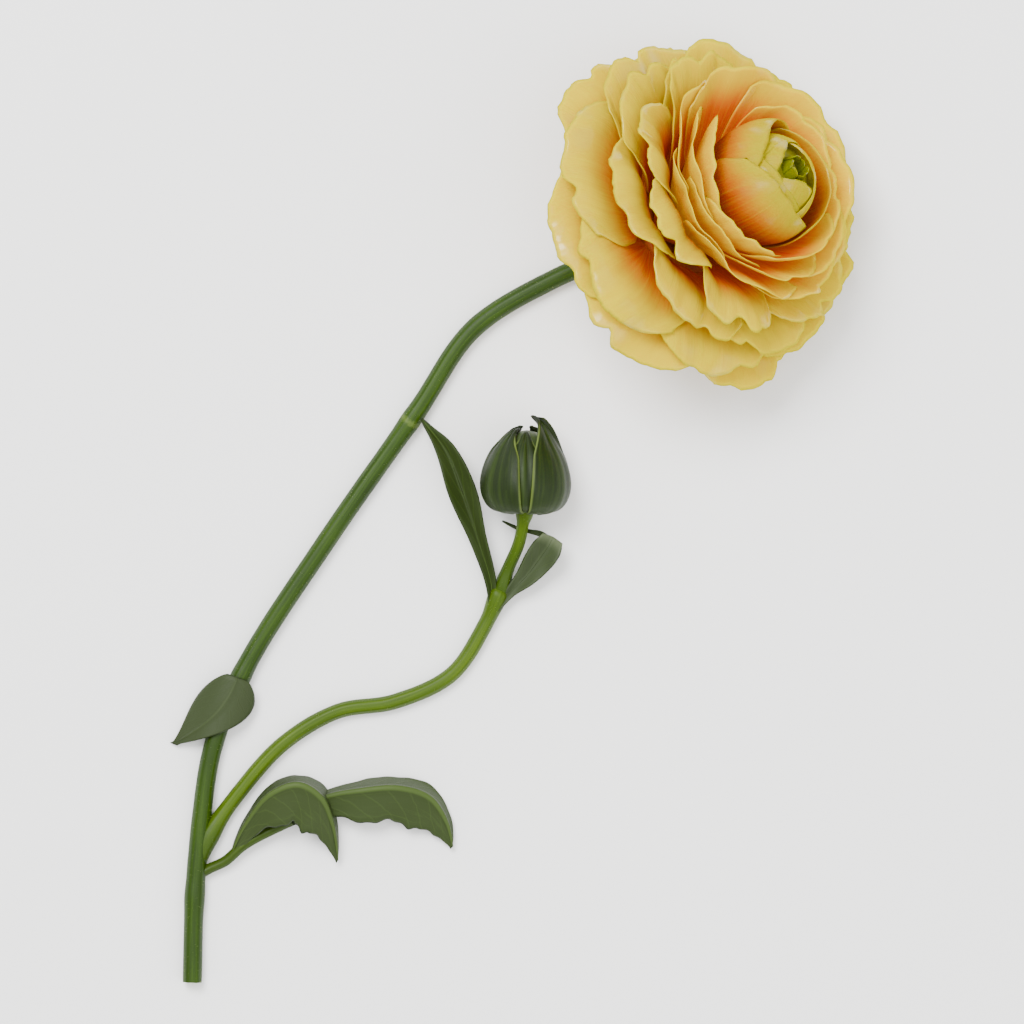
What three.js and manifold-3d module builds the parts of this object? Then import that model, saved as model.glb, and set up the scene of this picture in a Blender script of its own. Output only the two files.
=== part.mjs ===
// A cut ranunculus flower laid on its side: one open bloom of layered petals on a curved stem, with a side
// shoot that carries a closed bud, two small leaves at the bud, a bract and a lobed leaf at the foot.
// Millimetres. X and Y run along the surface that the flower lies on, Z points up from it.
// The origin is the middle of the flat spot on which the bloom rests.

import * as THREE from "three";
import { mergeVertices } from "three/addons/utils/BufferGeometryUtils.js";
import Module from "manifold-3d";

const wasm = await Module();
wasm.setup();

// ---------------------------------------------------------------- driving dimensions

const DEGREE = Math.PI / 180;

// The bloom's own frame: its axis leans this far from upright, towards this heading in the XY plane.
const BLOOM_LEAN = 47 * DEGREE;
const BLOOM_HEADING = 24 * DEGREE;
const BLOOM_CENTRE = v(-15.5, -6.9, 16);

// The middle of the flat spot under the bloom, in the same layout. It becomes the origin.
const REST_SPOT = v(-0.5, -5.2, 0);

const STEM_RADIUS = 1.7;
const SHOOT_RADIUS = 1.35;
const PEDICEL_RADIUS = 1.05;
const PETIOLE_RADIUS = 0.9;
const OUTER_PETAL_THICKNESS = 0.8;
const INNER_PETAL_THICKNESS = 0.7;
const SEPAL_THICKNESS = 0.7;
const BUD_SEPAL_THICKNESS = 1.3;
const LEAF_THICKNESS = 0.7;
const LEAF_REST = 0.45; // height of a leaf's middle surface where the leaf lies down
const BUD_REST = 0.7;
const SEAT_GAP = 0.3; // between two pieces that touch in life
const SLIVER = 0.04; // joined pieces keep no edge or step finer than this

// Petal rows from the outside in. Radii and heights are along and across the bloom's axis, leans are the
// angle between petal and axis. Each rim is given on the raised side, on the flanks and on the far side.
const OUTER_ROWS = [
  {
    count: 7, first: 113, halfWidth: 37, round: 0.22, narrow: 0.2, wave: 0.7, lift: 0.8, rest: 0.1,
    root: { radius: 5, height: -10.8, lean: 78 },
    near: { radius: 30.5, height: -11, lean: 148 },
    flank: { radius: 32.5, height: -3.5, lean: 112 },
    far: { radius: 29, height: 3, lean: 52 },
  },
  {
    count: 7, first: 138, halfWidth: 37, round: 0.2, narrow: 0.2, wave: 0.7, lift: 0.75, rest: 2,
    root: { radius: 5, height: -9.8, lean: 68 },
    near: { radius: 30, height: -5.5, lean: 140 },
    flank: { radius: 31.5, height: 0.3, lean: 102 },
    far: { radius: 29, height: 7.5, lean: 48 },
  },
  {
    count: 7, first: 160, halfWidth: 37, round: 0.22, narrow: 0.2, wave: 0.7, lift: 0.75, rest: 3.8,
    root: { radius: 5, height: -8.9, lean: 60 },
    near: { radius: 26.5, height: 4.2, lean: 120 },
    flank: { radius: 29.6, height: 4.2, lean: 94 },
    far: { radius: 27.3, height: 10.8, lean: 46 },
  },
  {
    count: 7, first: 186, halfWidth: 36, round: 0.22, narrow: 0.2, wave: 0.6, lift: 0.65, rest: 5.4,
    root: { radius: 5, height: -8, lean: 42 },
    near: { radius: 23.8, height: 10.4, lean: 98 },
    flank: { radius: 26.5, height: 9, lean: 80 },
    far: { radius: 25.5, height: 13.4, lean: 43 },
  },
];

const INNER_ROWS = [
  {
    count: 7, first: 175, halfWidth: 42, round: 0.14, narrow: 0.06, wave: 0.4, lift: 0.6, rest: 7,
    root: { radius: 5.4, height: -3.6, lean: 34 },
    near: { radius: 21, height: 16, lean: 44 },
    flank: { radius: 22, height: 15, lean: 42 },
    far: { radius: 23, height: 15.8, lean: 38 },
  },
  {
    count: 7, first: 200, halfWidth: 41, round: 0.14, narrow: 0.06, wave: 0.3, lift: 0.55, rest: 8,
    missing: [4, 5],
    root: { radius: 4.6, height: -2.6, lean: 32 },
    near: { radius: 18.4, height: 17.4, lean: 32 },
    flank: { radius: 18.8, height: 17.2, lean: 30 },
    far: { radius: 19.4, height: 18, lean: 26 },
  },
  {
    count: 6, first: 150, halfWidth: 44, round: 0.12, narrow: 0.06, wave: 0.15, lift: 0.5, rest: 9,
    missing: [5],
    root: { radius: 3.4, height: -1.4, lean: 26 },
    near: { radius: 15, height: 18, lean: 4 },
    flank: { radius: 15, height: 19, lean: 6 },
    far: { radius: 15.6, height: 19.6, lean: 6 },
  },
  {
    count: 3, first: 218, halfWidth: 80, round: 0.16, narrow: 0.1, wave: 0.05, lift: 0.48, rest: 10,
    across: 7,
    root: { radius: 3.2, height: -0.6, lean: 42 },
    near: { radius: 5.6, height: 24.2, lean: -66 },
    flank: { radius: 8.4, height: 22.4, lean: -40 },
    far: { radius: 11.6, height: 20.8, lean: -14 },
  },
];

// Ripples round the bloom. Petals that lie on each other ripple together.
const RIPPLES_ROUND = 11;

// How far petals of one row differ from each other: in degrees, and as shares of width and length.
const AZIMUTH_SPREAD = 5;
const WIDTH_SPREAD = 0.08;
const LENGTH_SPREAD = 0.04;

// What the petals grow from, as [radius, height] outlines on the bloom's axis.
const CORE_SIDES = 14;
const OUTER_CORE = [
  [0, -13], [5, -13], [9.3, -10.4], [10.4, -7], [9.4, -4.4], [7.6, -5.2], [6.6, -6.4], [0, -6.4],
];
const INNER_CORE = [[0, -6], [4.8, -6], [6.8, -2.8], [8.6, 1.6], [8, 3], [0, 3]];

// ---------------------------------------------------------------- small tools

function v(x, y, z) {
  return new THREE.Vector3(x, y, z);
}

// A smooth step from 0 to 1.
function ease(x) {
  const k = THREE.MathUtils.clamp(x, 0, 1);
  return k * k * (3 - 2 * k);
}

// A repeatable draw from -1 to 1 for one feature of one piece.
function draw(piece, feature) {
  const n = Math.sin(piece * 12.9898 + feature * 78.233) * 43758.5453;
  return 2 * (n - Math.floor(n)) - 1;
}

function solidOf(geometry) {
  const bare = geometry.clone();
  bare.deleteAttribute("normal");
  bare.deleteAttribute("uv");
  const merged = mergeVertices(bare, 1e-4);
  return new wasm.Manifold(
    new wasm.Mesh({
      numProp: 3,
      vertProperties: new Float32Array(merged.attributes.position.array),
      triVerts: new Uint32Array(merged.index.array),
    }),
  );
}

function geometryOf(solid) {
  const mesh = solid.getMesh();
  const geometry = new THREE.BufferGeometry();
  geometry.setAttribute("position", new THREE.BufferAttribute(new Float32Array(mesh.vertProperties), 3));
  geometry.setIndex(new THREE.BufferAttribute(new Uint32Array(mesh.triVerts), 1));
  const flat = geometry.toNonIndexed();
  flat.computeVertexNormals();
  return flat;
}

// One body from many that cross: sealed hollows are filled, loose scraps dropped and slivers closed up.
function join(solids) {
  const joined = solids.reduce((a, b) => a.add(b));
  const main = joined.decompose().reduce((a, b) => (b.volume() > a.volume() ? b : a));
  return main.simplify(SLIVER);
}

// A closed blade of even thickness on the surface pointAt(s, t): s runs from root to tip, t from edge to
// edge. Both faces are split into triangles alike.
function blade(pointAt, thickness, lengthSteps, widthSteps) {
  const step = 1e-3;
  const row = widthSteps + 1;
  const positions = [];
  for (const side of [1, -1]) {
    for (let i = 0; i <= lengthSteps; i++) {
      for (let j = 0; j <= widthSteps; j++) {
        const s = i / lengthSteps;
        const t = (2 * j) / widthSteps - 1;
        const along = pointAt(s + step, t).sub(pointAt(s - step, t));
        const across = pointAt(s, t + step).sub(pointAt(s, t - step));
        const normal = along.cross(across).normalize();
        const p = pointAt(s, t).addScaledVector(normal, (side * thickness) / 2);
        positions.push(p.x, p.y, p.z);
      }
    }
  }
  const face = (lengthSteps + 1) * row;
  const index = [];
  const quad = (a, b, c, d) => index.push(a, b, c, a, c, d);
  for (let i = 0; i < lengthSteps; i++) {
    for (let j = 0; j < widthSteps; j++) {
      const a = i * row + j;
      index.push(a, a + row, a + row + 1, a, a + row + 1, a + 1);
      index.push(face + a, face + a + row + 1, face + a + row, face + a, face + a + 1, face + a + row + 1);
    }
  }
  for (let j = 0; j < widthSteps; j++) {
    const tip = lengthSteps * row + j;
    quad(j, j + 1, face + j + 1, face + j);
    quad(tip + 1, tip, face + tip, face + tip + 1);
  }
  for (let i = 0; i < lengthSteps; i++) {
    const left = i * row;
    const right = left + widthSteps;
    quad(left + row, left, face + left, face + left + row);
    quad(right, right + row, face + right + row, face + right);
  }
  const geometry = new THREE.BufferGeometry();
  geometry.setAttribute("position", new THREE.Float32BufferAttribute(positions, 3));
  geometry.setIndex(index);
  return geometry;
}

// ---------------------------------------------------------------- the bloom's frame

const heading = v(Math.cos(BLOOM_HEADING), Math.sin(BLOOM_HEADING), 0);
const up = v(0, 0, 1);
const bloomAxis = v(0, 0, 0)
  .addScaledVector(heading, Math.sin(BLOOM_LEAN))
  .addScaledVector(up, Math.cos(BLOOM_LEAN));
const bloomFar = v(0, 0, 0)
  .addScaledVector(heading, Math.cos(BLOOM_LEAN))
  .addScaledVector(up, -Math.sin(BLOOM_LEAN));
const bloomSide = new THREE.Vector3().crossVectors(bloomAxis, bloomFar);
const bloomFrame = new THREE.Matrix4().makeBasis(bloomFar, bloomSide, bloomAxis).setPosition(BLOOM_CENTRE);

// From radius, height and azimuth round the bloom's axis to a point. Azimuth 0 is the far, low side.
function bloomPoint(radius, height, azimuth) {
  return BLOOM_CENTRE.clone()
    .addScaledVector(bloomFar, radius * Math.cos(azimuth))
    .addScaledVector(bloomSide, radius * Math.sin(azimuth))
    .addScaledVector(bloomAxis, height);
}

const PRESS_SOFTNESS = 0.7;
const CLEAR_OF_REST = 12; // softnesses above which a point stays as it is

// What would dip below the given height lies down on it instead.
function layDown(point, height) {
  const x = (point.z - height) / PRESS_SOFTNESS;
  if (x < CLEAR_OF_REST) point.z = height + PRESS_SOFTNESS * Math.log(1 + Math.exp(x));
  return point;
}

const TABLE_BLOCK = 300;
const tableBlock = new THREE.BoxGeometry(TABLE_BLOCK, TABLE_BLOCK, TABLE_BLOCK);
tableBlock.translate(0, 0, TABLE_BLOCK / 2);
const aboveTable = solidOf(tableBlock);

// ---------------------------------------------------------------- petals

// A rim value round the bloom, from its values on the near side, the flanks and the far side.
function around(row, key, azimuth) {
  const mean = (row.near[key] + row.far[key]) / 4 + row.flank[key] / 2;
  const swing = (row.far[key] - row.near[key]) / 2;
  const pinch = (row.near[key] + row.far[key]) / 4 - row.flank[key] / 2;
  return mean + swing * Math.cos(azimuth) + pinch * Math.cos(2 * azimuth);
}

const HANDLE_SHARE = 0.38; // length of the curve's handles, as a share of the way from root to rim

// The curve of a petal's middle from root to rim, in the plane of radius and height.
function petalProfile(row, azimuth) {
  const root = new THREE.Vector2(row.root.radius, row.root.height);
  const rim = new THREE.Vector2(around(row, "radius", azimuth), around(row, "height", azimuth));
  const reach = root.distanceTo(rim) * HANDLE_SHARE;
  const rootLean = row.root.lean * DEGREE;
  const rimLean = around(row, "lean", azimuth) * DEGREE;
  return new THREE.CubicBezierCurve(
    root,
    new THREE.Vector2(root.x + reach * Math.sin(rootLean), root.y + reach * Math.cos(rootLean)),
    new THREE.Vector2(rim.x - reach * Math.sin(rimLean), rim.y - reach * Math.cos(rimLean)),
    rim,
  );
}

// A petal is a third as wide at its root and a little narrower at its rim, and each of its edges lies under or
// over its neighbour's.
function petalSurface(row, azimuth, seed) {
  const halfWidth = row.halfWidth * DEGREE * (1 + WIDTH_SPREAD * draw(seed, 1));
  const length = 1 + LENGTH_SPREAD * draw(seed, 2);
  return (s, t) => {
    const width = 0.32 + 0.68 * ease(s / 0.55) - row.narrow * ease((s - 0.7) / 0.3);
    const angle = azimuth + t * halfWidth * width;
    const profile = petalProfile(row, angle);
    const along = s * length * (1 - row.round * Math.pow(Math.abs(t), 2.6));
    const p = profile.getPoint(along);
    const before = profile.getPoint(along - 0.01);
    const after = profile.getPoint(along + 0.01);
    const normal = new THREE.Vector2(before.y - after.y, after.x - before.x).normalize();
    const ripple = row.wave * s * s * Math.sin(RIPPLES_ROUND * angle + row.rest);
    p.addScaledVector(normal, row.lift * t * (0.5 + 0.5 * ease(s / 0.25)) + ripple);
    return layDown(bloomPoint(p.x, p.y, angle), row.rest + 0.6 * row.lift * (t + 1));
  };
}

function petalRow(row, rowNumber, thickness, lengthSteps, widthSteps) {
  const places = [...Array(row.count).keys()].filter((k) => !row.missing?.includes(k));
  return places.map((k) => {
    const seed = rowNumber * 20 + k;
    const azimuth = (row.first + (360 * k) / row.count + AZIMUTH_SPREAD * draw(seed, 0)) * DEGREE;
    const surface = petalSurface(row, azimuth, seed);
    return solidOf(blade(surface, thickness, lengthSteps, row.across ?? widthSteps));
  });
}

// A shape turned round an axis from [radius, height] points: the bloom's axis, or the Z of another frame.
function turned(points, sides, frame = bloomFrame) {
  const geometry = new THREE.LatheGeometry(points.map(([r, h]) => new THREE.Vector2(r, h)), sides);
  geometry.rotateX(Math.PI / 2);
  geometry.applyMatrix4(frame);
  return geometry;
}

const outerCore = solidOf(turned(OUTER_CORE, CORE_SIDES));
const outerPetals = OUTER_ROWS.flatMap((row, n) => petalRow(row, n, OUTER_PETAL_THICKNESS, 5, 6));
const outerBody = join([outerCore, ...outerPetals]).intersect(aboveTable);

const innerCore = solidOf(turned(INNER_CORE, CORE_SIDES));
const innerPetals = INNER_ROWS.flatMap((row, n) => petalRow(row, n + 4, INNER_PETAL_THICKNESS, 4, 5));
const innerBody = join([innerCore, ...innerPetals]);

// ---------------------------------------------------------------- heart of young petals

const HEART_OUTLINE = [
  [3, 3.3], [4.6, 5], [6.9, 9.5], [7.9, 14], [7.8, 18], [6.4, 21.8], [4, 24.2], [2.2, 24.7],
];
const HEART_EYE = [[1.5, 23.9], [1, 21.5], [0, 21]];
const YOUNG_PETALS = [
  { azimuth: 196, halfWidth: 74, start: 0.2, rim: 0.74, proud: 0.7 },
  { azimuth: 310, halfWidth: 70, start: 0.2, rim: 0.8, proud: 0.6 },
  { azimuth: 75, halfWidth: 66, start: 0.2, rim: 0.8, proud: 0.6 },
  { azimuth: 160, halfWidth: 64, start: 0.4, rim: 0.9, proud: 0.4 },
  { azimuth: 280, halfWidth: 64, start: 0.4, rim: 0.93, proud: 0.35 },
  { azimuth: 30, halfWidth: 64, start: 0.4, rim: 0.95, proud: 0.35 },
];

const YOUNG_PETAL_SUNK = 0.8;

const heartProfile = new THREE.SplineCurve(HEART_OUTLINE.map(([r, h]) => new THREE.Vector2(r, h)));

// A young petal that hugs the heart, proud of it by a little and slanting up to the eye.
function youngPetalSurface(petal) {
  return (s, t) => {
    const reach = petal.rim * (1 - 0.22 * Math.abs(t) ** 2.2) + 0.03 * t;
    const at = petal.start + (reach - petal.start) * s;
    const p = heartProfile.getPoint(at);
    const tangent = heartProfile.getTangent(at);
    const out = (petal.proud - YOUNG_PETAL_SUNK) / 2 + 0.2 * t * ease(s);
    p.add(new THREE.Vector2(tangent.y, -tangent.x).multiplyScalar(out));
    return bloomPoint(p.x, p.y, (petal.azimuth + petal.halfWidth * t * (0.75 + 0.25 * s)) * DEGREE);
  };
}

const heartCore = solidOf(turned([[0, 3.3], ...HEART_OUTLINE, ...HEART_EYE], 12));
const youngPetals = YOUNG_PETALS.map((petal) =>
  solidOf(blade(youngPetalSurface(petal), petal.proud + YOUNG_PETAL_SUNK, 3, 5)),
);
const heartBody = join([heartCore, ...youngPetals]);

// ---------------------------------------------------------------- calyx

const SEPAL_COUNT = 5;
const SEPAL_HALF_WIDTH = 3.3;
const COLLAR_TOP = OUTER_CORE[0][1] - SEAT_GAP;
const COLLAR_BOTTOM = COLLAR_TOP - 1;

function sepalSurface(azimuth) {
  const profile = new THREE.QuadraticBezierCurve(
    new THREE.Vector2(3, -13.85),
    new THREE.Vector2(8.5, -14),
    new THREE.Vector2(12.5, -15.4),
  );
  return (s, t) => {
    const p = profile.getPoint(s);
    const half = SEPAL_HALF_WIDTH * (1 - 0.85 * Math.max(s, 0) ** 3) * (0.7 + 0.3 * ease(s * 3));
    p.y += 0.2 * t * t;
    const angle = azimuth + Math.atan2(half * t, p.x);
    return layDown(bloomPoint(Math.hypot(p.x, half * t), p.y, angle), LEAF_REST);
  };
}

const COLLAR = [[0, COLLAR_BOTTOM], [4.4, COLLAR_BOTTOM], [4.6, COLLAR_TOP], [0, COLLAR_TOP]];
const collar = solidOf(turned(COLLAR, 12));
const sepals = [];
for (let k = 0; k < SEPAL_COUNT; k++) {
  const azimuth = (36 + (360 * k) / SEPAL_COUNT) * DEGREE;
  sepals.push(solidOf(blade(sepalSurface(azimuth), SEPAL_THICKNESS, 3, 4)));
}
const calyxBody = join([collar, ...sepals]);

// ---------------------------------------------------------------- stem with its side shoot

const RECEPTACLE_TOP = COLLAR_BOTTOM - SEAT_GAP;

const stemRoute = new THREE.CatmullRomCurve3([
  bloomPoint(0, RECEPTACLE_TOP - 0.6, 0),
  bloomPoint(0, RECEPTACLE_TOP - 2.2, 0),
  v(-30.6, -13.6, 2.9),
  v(-35.5, -15.6, 1.85),
  v(-42.1, -18.3, STEM_RADIUS),
  v(-56.9, -27.4, STEM_RADIUS),
  v(-67.3, -42.5, STEM_RADIUS),
  v(-83.9, -66.3, STEM_RADIUS),
  v(-98.3, -88.8, STEM_RADIUS),
  v(-104.2, -103.2, STEM_RADIUS),
  v(-106.4, -116.7, STEM_RADIUS),
  v(-107.6, -131, STEM_RADIUS),
  v(-108, -146, STEM_RADIUS),
]);

const shootRoute = new THREE.CatmullRomCurve3([
  v(-105.9, -121.5, 1.5),
  v(-104.4, -118.5, SHOOT_RADIUS),
  v(-99.7, -111.8, SHOOT_RADIUS),
  v(-91.6, -102.8, SHOOT_RADIUS),
  v(-81.7, -96.9, SHOOT_RADIUS),
  v(-71.3, -95.1, SHOOT_RADIUS),
  v(-61, -90.2, SHOOT_RADIUS),
  v(-54.9, -81.2, SHOOT_RADIUS + 0.2),
  v(-51.8, -74, 2.1),
]);

const pedicelRoute = new THREE.CatmullRomCurve3([
  v(-52, -74.8, 2),
  v(-50.8, -71.2, 2.8),
  v(-48.7, -66.2, 4.6),
  v(-47.6, -61.4, 6.4),
]);

function tube(route, radius, sides, steps) {
  const section = new THREE.Shape();
  section.absarc(0, 0, radius, 0, 2 * Math.PI);
  const geometry = new THREE.ExtrudeGeometry(section, {
    steps,
    curveSegments: sides / 2,
    bevelEnabled: false,
    extrudePath: route,
  });
  return solidOf(geometry);
}

function knot(centre, radius) {
  const geometry = new THREE.SphereGeometry(radius, 8, 6);
  geometry.translate(centre.x, centre.y, centre.z);
  return solidOf(geometry);
}

const receptacle = solidOf(
  turned([[0, -19.4], [1.6, -19.4], [2.1, -17.4], [3.2, -16], [4, RECEPTACLE_TOP], [0, RECEPTACLE_TOP]], 16),
);
const stemBody = join([
  tube(stemRoute, STEM_RADIUS, 8, 42),
  receptacle,
  tube(shootRoute, SHOOT_RADIUS, 8, 22),
  tube(pedicelRoute, PEDICEL_RADIUS, 8, 7),
  knot(v(-51.8, -74, 2.1), 1.6),
  knot(v(-67.3, -42.5, STEM_RADIUS), 1.72),
]);

// ---------------------------------------------------------------- bud

const BUD_OUTLINE = [[0, 0], [2, 0.2], [5, 1.6], [7, 5], [7.1, 8.6], [5.6, 12.2], [2.8, 15], [0, 15.8]];
const BUD_SEPALS = 5;
const BUD_BASE = v(-47.6, -60.9, 6.9);
const BUD_AXIS = v(0.02, 1, 0.06).normalize();
const budSide = new THREE.Vector3().crossVectors(BUD_AXIS, up).normalize();
const budUp = new THREE.Vector3().crossVectors(BUD_AXIS, budSide);
const budFrame = new THREE.Matrix4().makeBasis(budSide, budUp, BUD_AXIS).setPosition(BUD_BASE);

function budPoint(radius, height, azimuth) {
  return BUD_BASE.clone()
    .addScaledVector(budSide, radius * Math.cos(azimuth))
    .addScaledVector(budUp, radius * Math.sin(azimuth))
    .addScaledVector(BUD_AXIS, height);
}

const budProfile = new THREE.SplineCurve(BUD_OUTLINE.map(([r, h]) => new THREE.Vector2(r, h)));

// A sepal closed over the bud, broad below and pointed above, one margin over its neighbour.
function budSepalSurface(k) {
  const azimuth = (60 + (360 * k) / BUD_SEPALS) * DEGREE;
  const top = 0.93 + 0.04 * draw(k, 40);
  return (s, t) => {
    const at = 0.12 + (top - 0.12) * s * (1 - 0.1 * t * t);
    const p = budProfile.getPoint(at);
    const tangent = budProfile.getTangent(at);
    const out = -0.05 + 0.2 * t * ease(s) + 0.9 * ease((s - 0.75) * 4) - 0.4 * ease((0.3 - s) * 4);
    p.add(new THREE.Vector2(tangent.y, -tangent.x).multiplyScalar(out));
    const half = 47 * (1 - 0.3 * Math.max(s, 0) ** 4);
    return layDown(budPoint(Math.max(p.x, 0.6), p.y, azimuth + half * t * DEGREE), BUD_REST);
  };
}

const budSolids = [solidOf(turned(BUD_OUTLINE, 12, budFrame))];
for (let k = 0; k < BUD_SEPALS; k++) {
  budSolids.push(solidOf(blade(budSepalSurface(k), BUD_SEPAL_THICKNESS, 4, 4)));
}
const budBody = join(budSolids);

// ---------------------------------------------------------------- leaves

// A leaf on a spine: half widths along it, both halves folded down or up from the midrib by an angle.
function leafSurface({ spine, widths, foldLeft, foldRight, teeth = 0, broad = 1 }) {
  const route = new THREE.CatmullRomCurve3(spine);
  const outline = new THREE.SplineCurve(widths.map(([s, w]) => new THREE.Vector2(s, w)));
  return (s, t) => {
    const at = THREE.MathUtils.clamp(s, 0, 1);
    const p = route.getPoint(at).addScaledVector(route.getTangent(at), (s - at) * route.getLength());
    const along = route.getTangent(at);
    const side = new THREE.Vector3().crossVectors(along, up).normalize();
    const lift = new THREE.Vector3().crossVectors(side, along);
    const half = outline.getPoint(at).y * (t < 0 ? 1 : broad);
    const width = half * (1 + teeth * Math.abs(t) * Math.sin(at * 22));
    const fold = (t < 0 ? foldLeft : foldRight) * DEGREE;
    const rise = Math.sqrt(t * t + 0.01) - 0.1;
    p.addScaledVector(side, t * width * Math.cos(fold)).addScaledVector(lift, rise * width * Math.sin(fold));
    return layDown(p, LEAF_REST);
  };
}

const leftLeaf = blade(
  leafSurface({
    spine: [
      v(-53.5, -72.7, 2.2), v(-56.2, -65.5, 3.4), v(-59, -57, 4.6), v(-62, -49.6, 5), v(-66.4, -43.8, 4.6),
    ],
    widths: [[0, 0.9], [0.2, 1.9], [0.5, 2.9], [0.75, 2], [1, 0.35]],
    foldLeft: 40, foldRight: 40,
  }),
  LEAF_THICKNESS, 9, 4,
);

const rightLeaf = blade(
  leafSurface({
    spine: [
      v(-49.3, -74.7, 2.2), v(-47.2, -72.2, 2.6), v(-44.8, -69.2, 3.4), v(-42.9, -66.9, 4.2), v(-41.4, -65, 4.6),
    ],
    widths: [[0, 0.9], [0.3, 2], [0.6, 2.9], [0.85, 2.7], [1, 1.3]],
    foldLeft: 35, foldRight: 35,
  }),
  LEAF_THICKNESS, 9, 4,
);

// The bract lies over the stem like a saddle and its tip bends away to the left.
const BRACT_START = v(-99.7, -90.6, 0);
const BRACT_RUN = v(-5.2, -14.6, 0);
const BRACT_HALF_WIDTH = 5.1;
const BRACT_CREST = 4.25;
const bractSide = new THREE.Vector3().crossVectors(BRACT_RUN, up).normalize();

function bractSurface(s, t) {
  const half = BRACT_HALF_WIDTH * Math.sin(Math.PI * Math.min(0.12 + 0.86 * Math.max(s, 0) ** 0.8, 0.97));
  const across = 7 * Math.max(s, 0) ** 2.2 + half * t;
  const p = BRACT_START.clone().addScaledVector(BRACT_RUN, s).addScaledVector(bractSide, across);
  p.z = BRACT_CREST - 0.085 * across * across;
  return layDown(p, LEAF_REST);
}

const bract = blade(bractSurface, LEAF_THICKNESS, 7, 6);

// The basal leaf: two leaflets that arch up from one stalk.
const BASAL_TEETH = 0.12; // depth of the wavy edge, as a share of the half width

const basalFront = blade(
  leafSurface({
    spine: [
      v(-101, -123, 1.8), v(-98, -117, 4), v(-93.5, -111.6, 6.8), v(-88.5, -109.9, 7.6),
      v(-84.6, -112.2, 6.8), v(-82.6, -117, 4.6), v(-81.6, -124, 1.8),
    ],
    widths: [[0, 1], [0.25, 4], [0.5, 6], [0.75, 5], [1, 0.5]],
    foldLeft: -75, foldRight: -15, teeth: BASAL_TEETH, broad: 1.25,
  }),
  LEAF_THICKNESS, 11, 4,
);
const basalBack = blade(
  leafSurface({
    spine: [
      v(-91, -117, 2.6), v(-84.5, -112.6, 4.2), v(-77, -111, 5.6), v(-70.4, -110.6, 5.4), v(-65, -112.4, 4),
      v(-62, -116.7, 2.4), v(-60.8, -121.5, 1.2),
    ],
    widths: [[0, 1], [0.25, 4], [0.5, 5.5], [0.75, 4.5], [1, 0.5]],
    foldLeft: -70, foldRight: -15, teeth: BASAL_TEETH, broad: 1.2,
  }),
  LEAF_THICKNESS, 11, 4,
);
const petioleRoute = new THREE.CatmullRomCurve3([
  v(-104.9, -125.4, 1.5), v(-102, -124, 1.7), v(-98.5, -121, 2.2), v(-91, -117.2, 2.6),
]);
const basalBody = join([solidOf(basalFront), solidOf(basalBack), tube(petioleRoute, PETIOLE_RADIUS, 8, 6)]);

// ---------------------------------------------------------------- the object

const flower = new THREE.Group();
flower.position.copy(REST_SPOT).negate();

function add(name, geometry, color, roughness) {
  const mesh = new THREE.Mesh(geometry, new THREE.MeshStandardMaterial({ color, roughness, metalness: 0 }));
  mesh.name = name;
  flower.add(mesh);
}

add("outer_petals", geometryOf(outerBody), 0xe9dc62, 0.45);
add("inner_petals", geometryOf(innerBody), 0xec9a3e, 0.5);
add("heart", geometryOf(heartBody), 0xcfc35e, 0.5);
add("calyx", geometryOf(calyxBody), 0x7d9448, 0.6);
add("stem", geometryOf(stemBody), 0x55792a, 0.5);
add("bud", geometryOf(budBody), 0x49632b, 0.6);
add("shoot_leaf_left", geometryOf(solidOf(leftLeaf)), 0x44602c, 0.6);
add("shoot_leaf_right", geometryOf(solidOf(rightLeaf)), 0x52693c, 0.6);
add("stem_bract", geometryOf(solidOf(bract)), 0x53663f, 0.65);
add("basal_leaf", geometryOf(basalBody), 0x55703a, 0.6);

export default flower;
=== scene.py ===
"""A cut ranunculus laid on its side, dressed for the camera.

The flower is made of sub-assemblies: the bloom's outer rows, inner rows and heart, the calyx, the stem
with its side shoot, the bud, and the leaves. Each is a class that holds its own sizes, builds its meshes
and dresses them.

Sizes are written in millimetres in the layout in which the flower was measured, and become metres in the
shared frame when a mesh is made. X and Y run along the surface that the flower lies on, and Z points up.
"""

import logging
import math
from collections.abc import Callable, Iterable, Sequence
from dataclasses import dataclass, replace
from enum import Enum, IntEnum
from typing import Any

import bpy
import numpy as np
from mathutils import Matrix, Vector


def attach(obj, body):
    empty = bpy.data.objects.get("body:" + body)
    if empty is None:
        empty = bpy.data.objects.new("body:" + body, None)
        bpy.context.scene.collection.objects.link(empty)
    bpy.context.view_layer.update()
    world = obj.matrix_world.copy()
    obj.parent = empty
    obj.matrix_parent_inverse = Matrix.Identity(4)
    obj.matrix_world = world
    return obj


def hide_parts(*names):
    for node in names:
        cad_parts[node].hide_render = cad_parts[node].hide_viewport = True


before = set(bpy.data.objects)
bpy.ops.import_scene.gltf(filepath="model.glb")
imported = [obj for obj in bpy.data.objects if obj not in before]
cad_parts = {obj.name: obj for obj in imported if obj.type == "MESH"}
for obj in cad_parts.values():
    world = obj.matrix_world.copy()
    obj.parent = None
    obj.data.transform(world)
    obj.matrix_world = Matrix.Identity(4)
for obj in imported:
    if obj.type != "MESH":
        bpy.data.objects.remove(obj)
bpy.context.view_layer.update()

LOG = logging.getLogger("ranunculus")

MM = 0.001
BODY = "root"

Point = tuple[float, float, float]
Pair = tuple[float, float]
Color = tuple[float, float, float, float]
Surface = Callable[[np.ndarray, np.ndarray], np.ndarray]


# ---- numbers and colours


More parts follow.
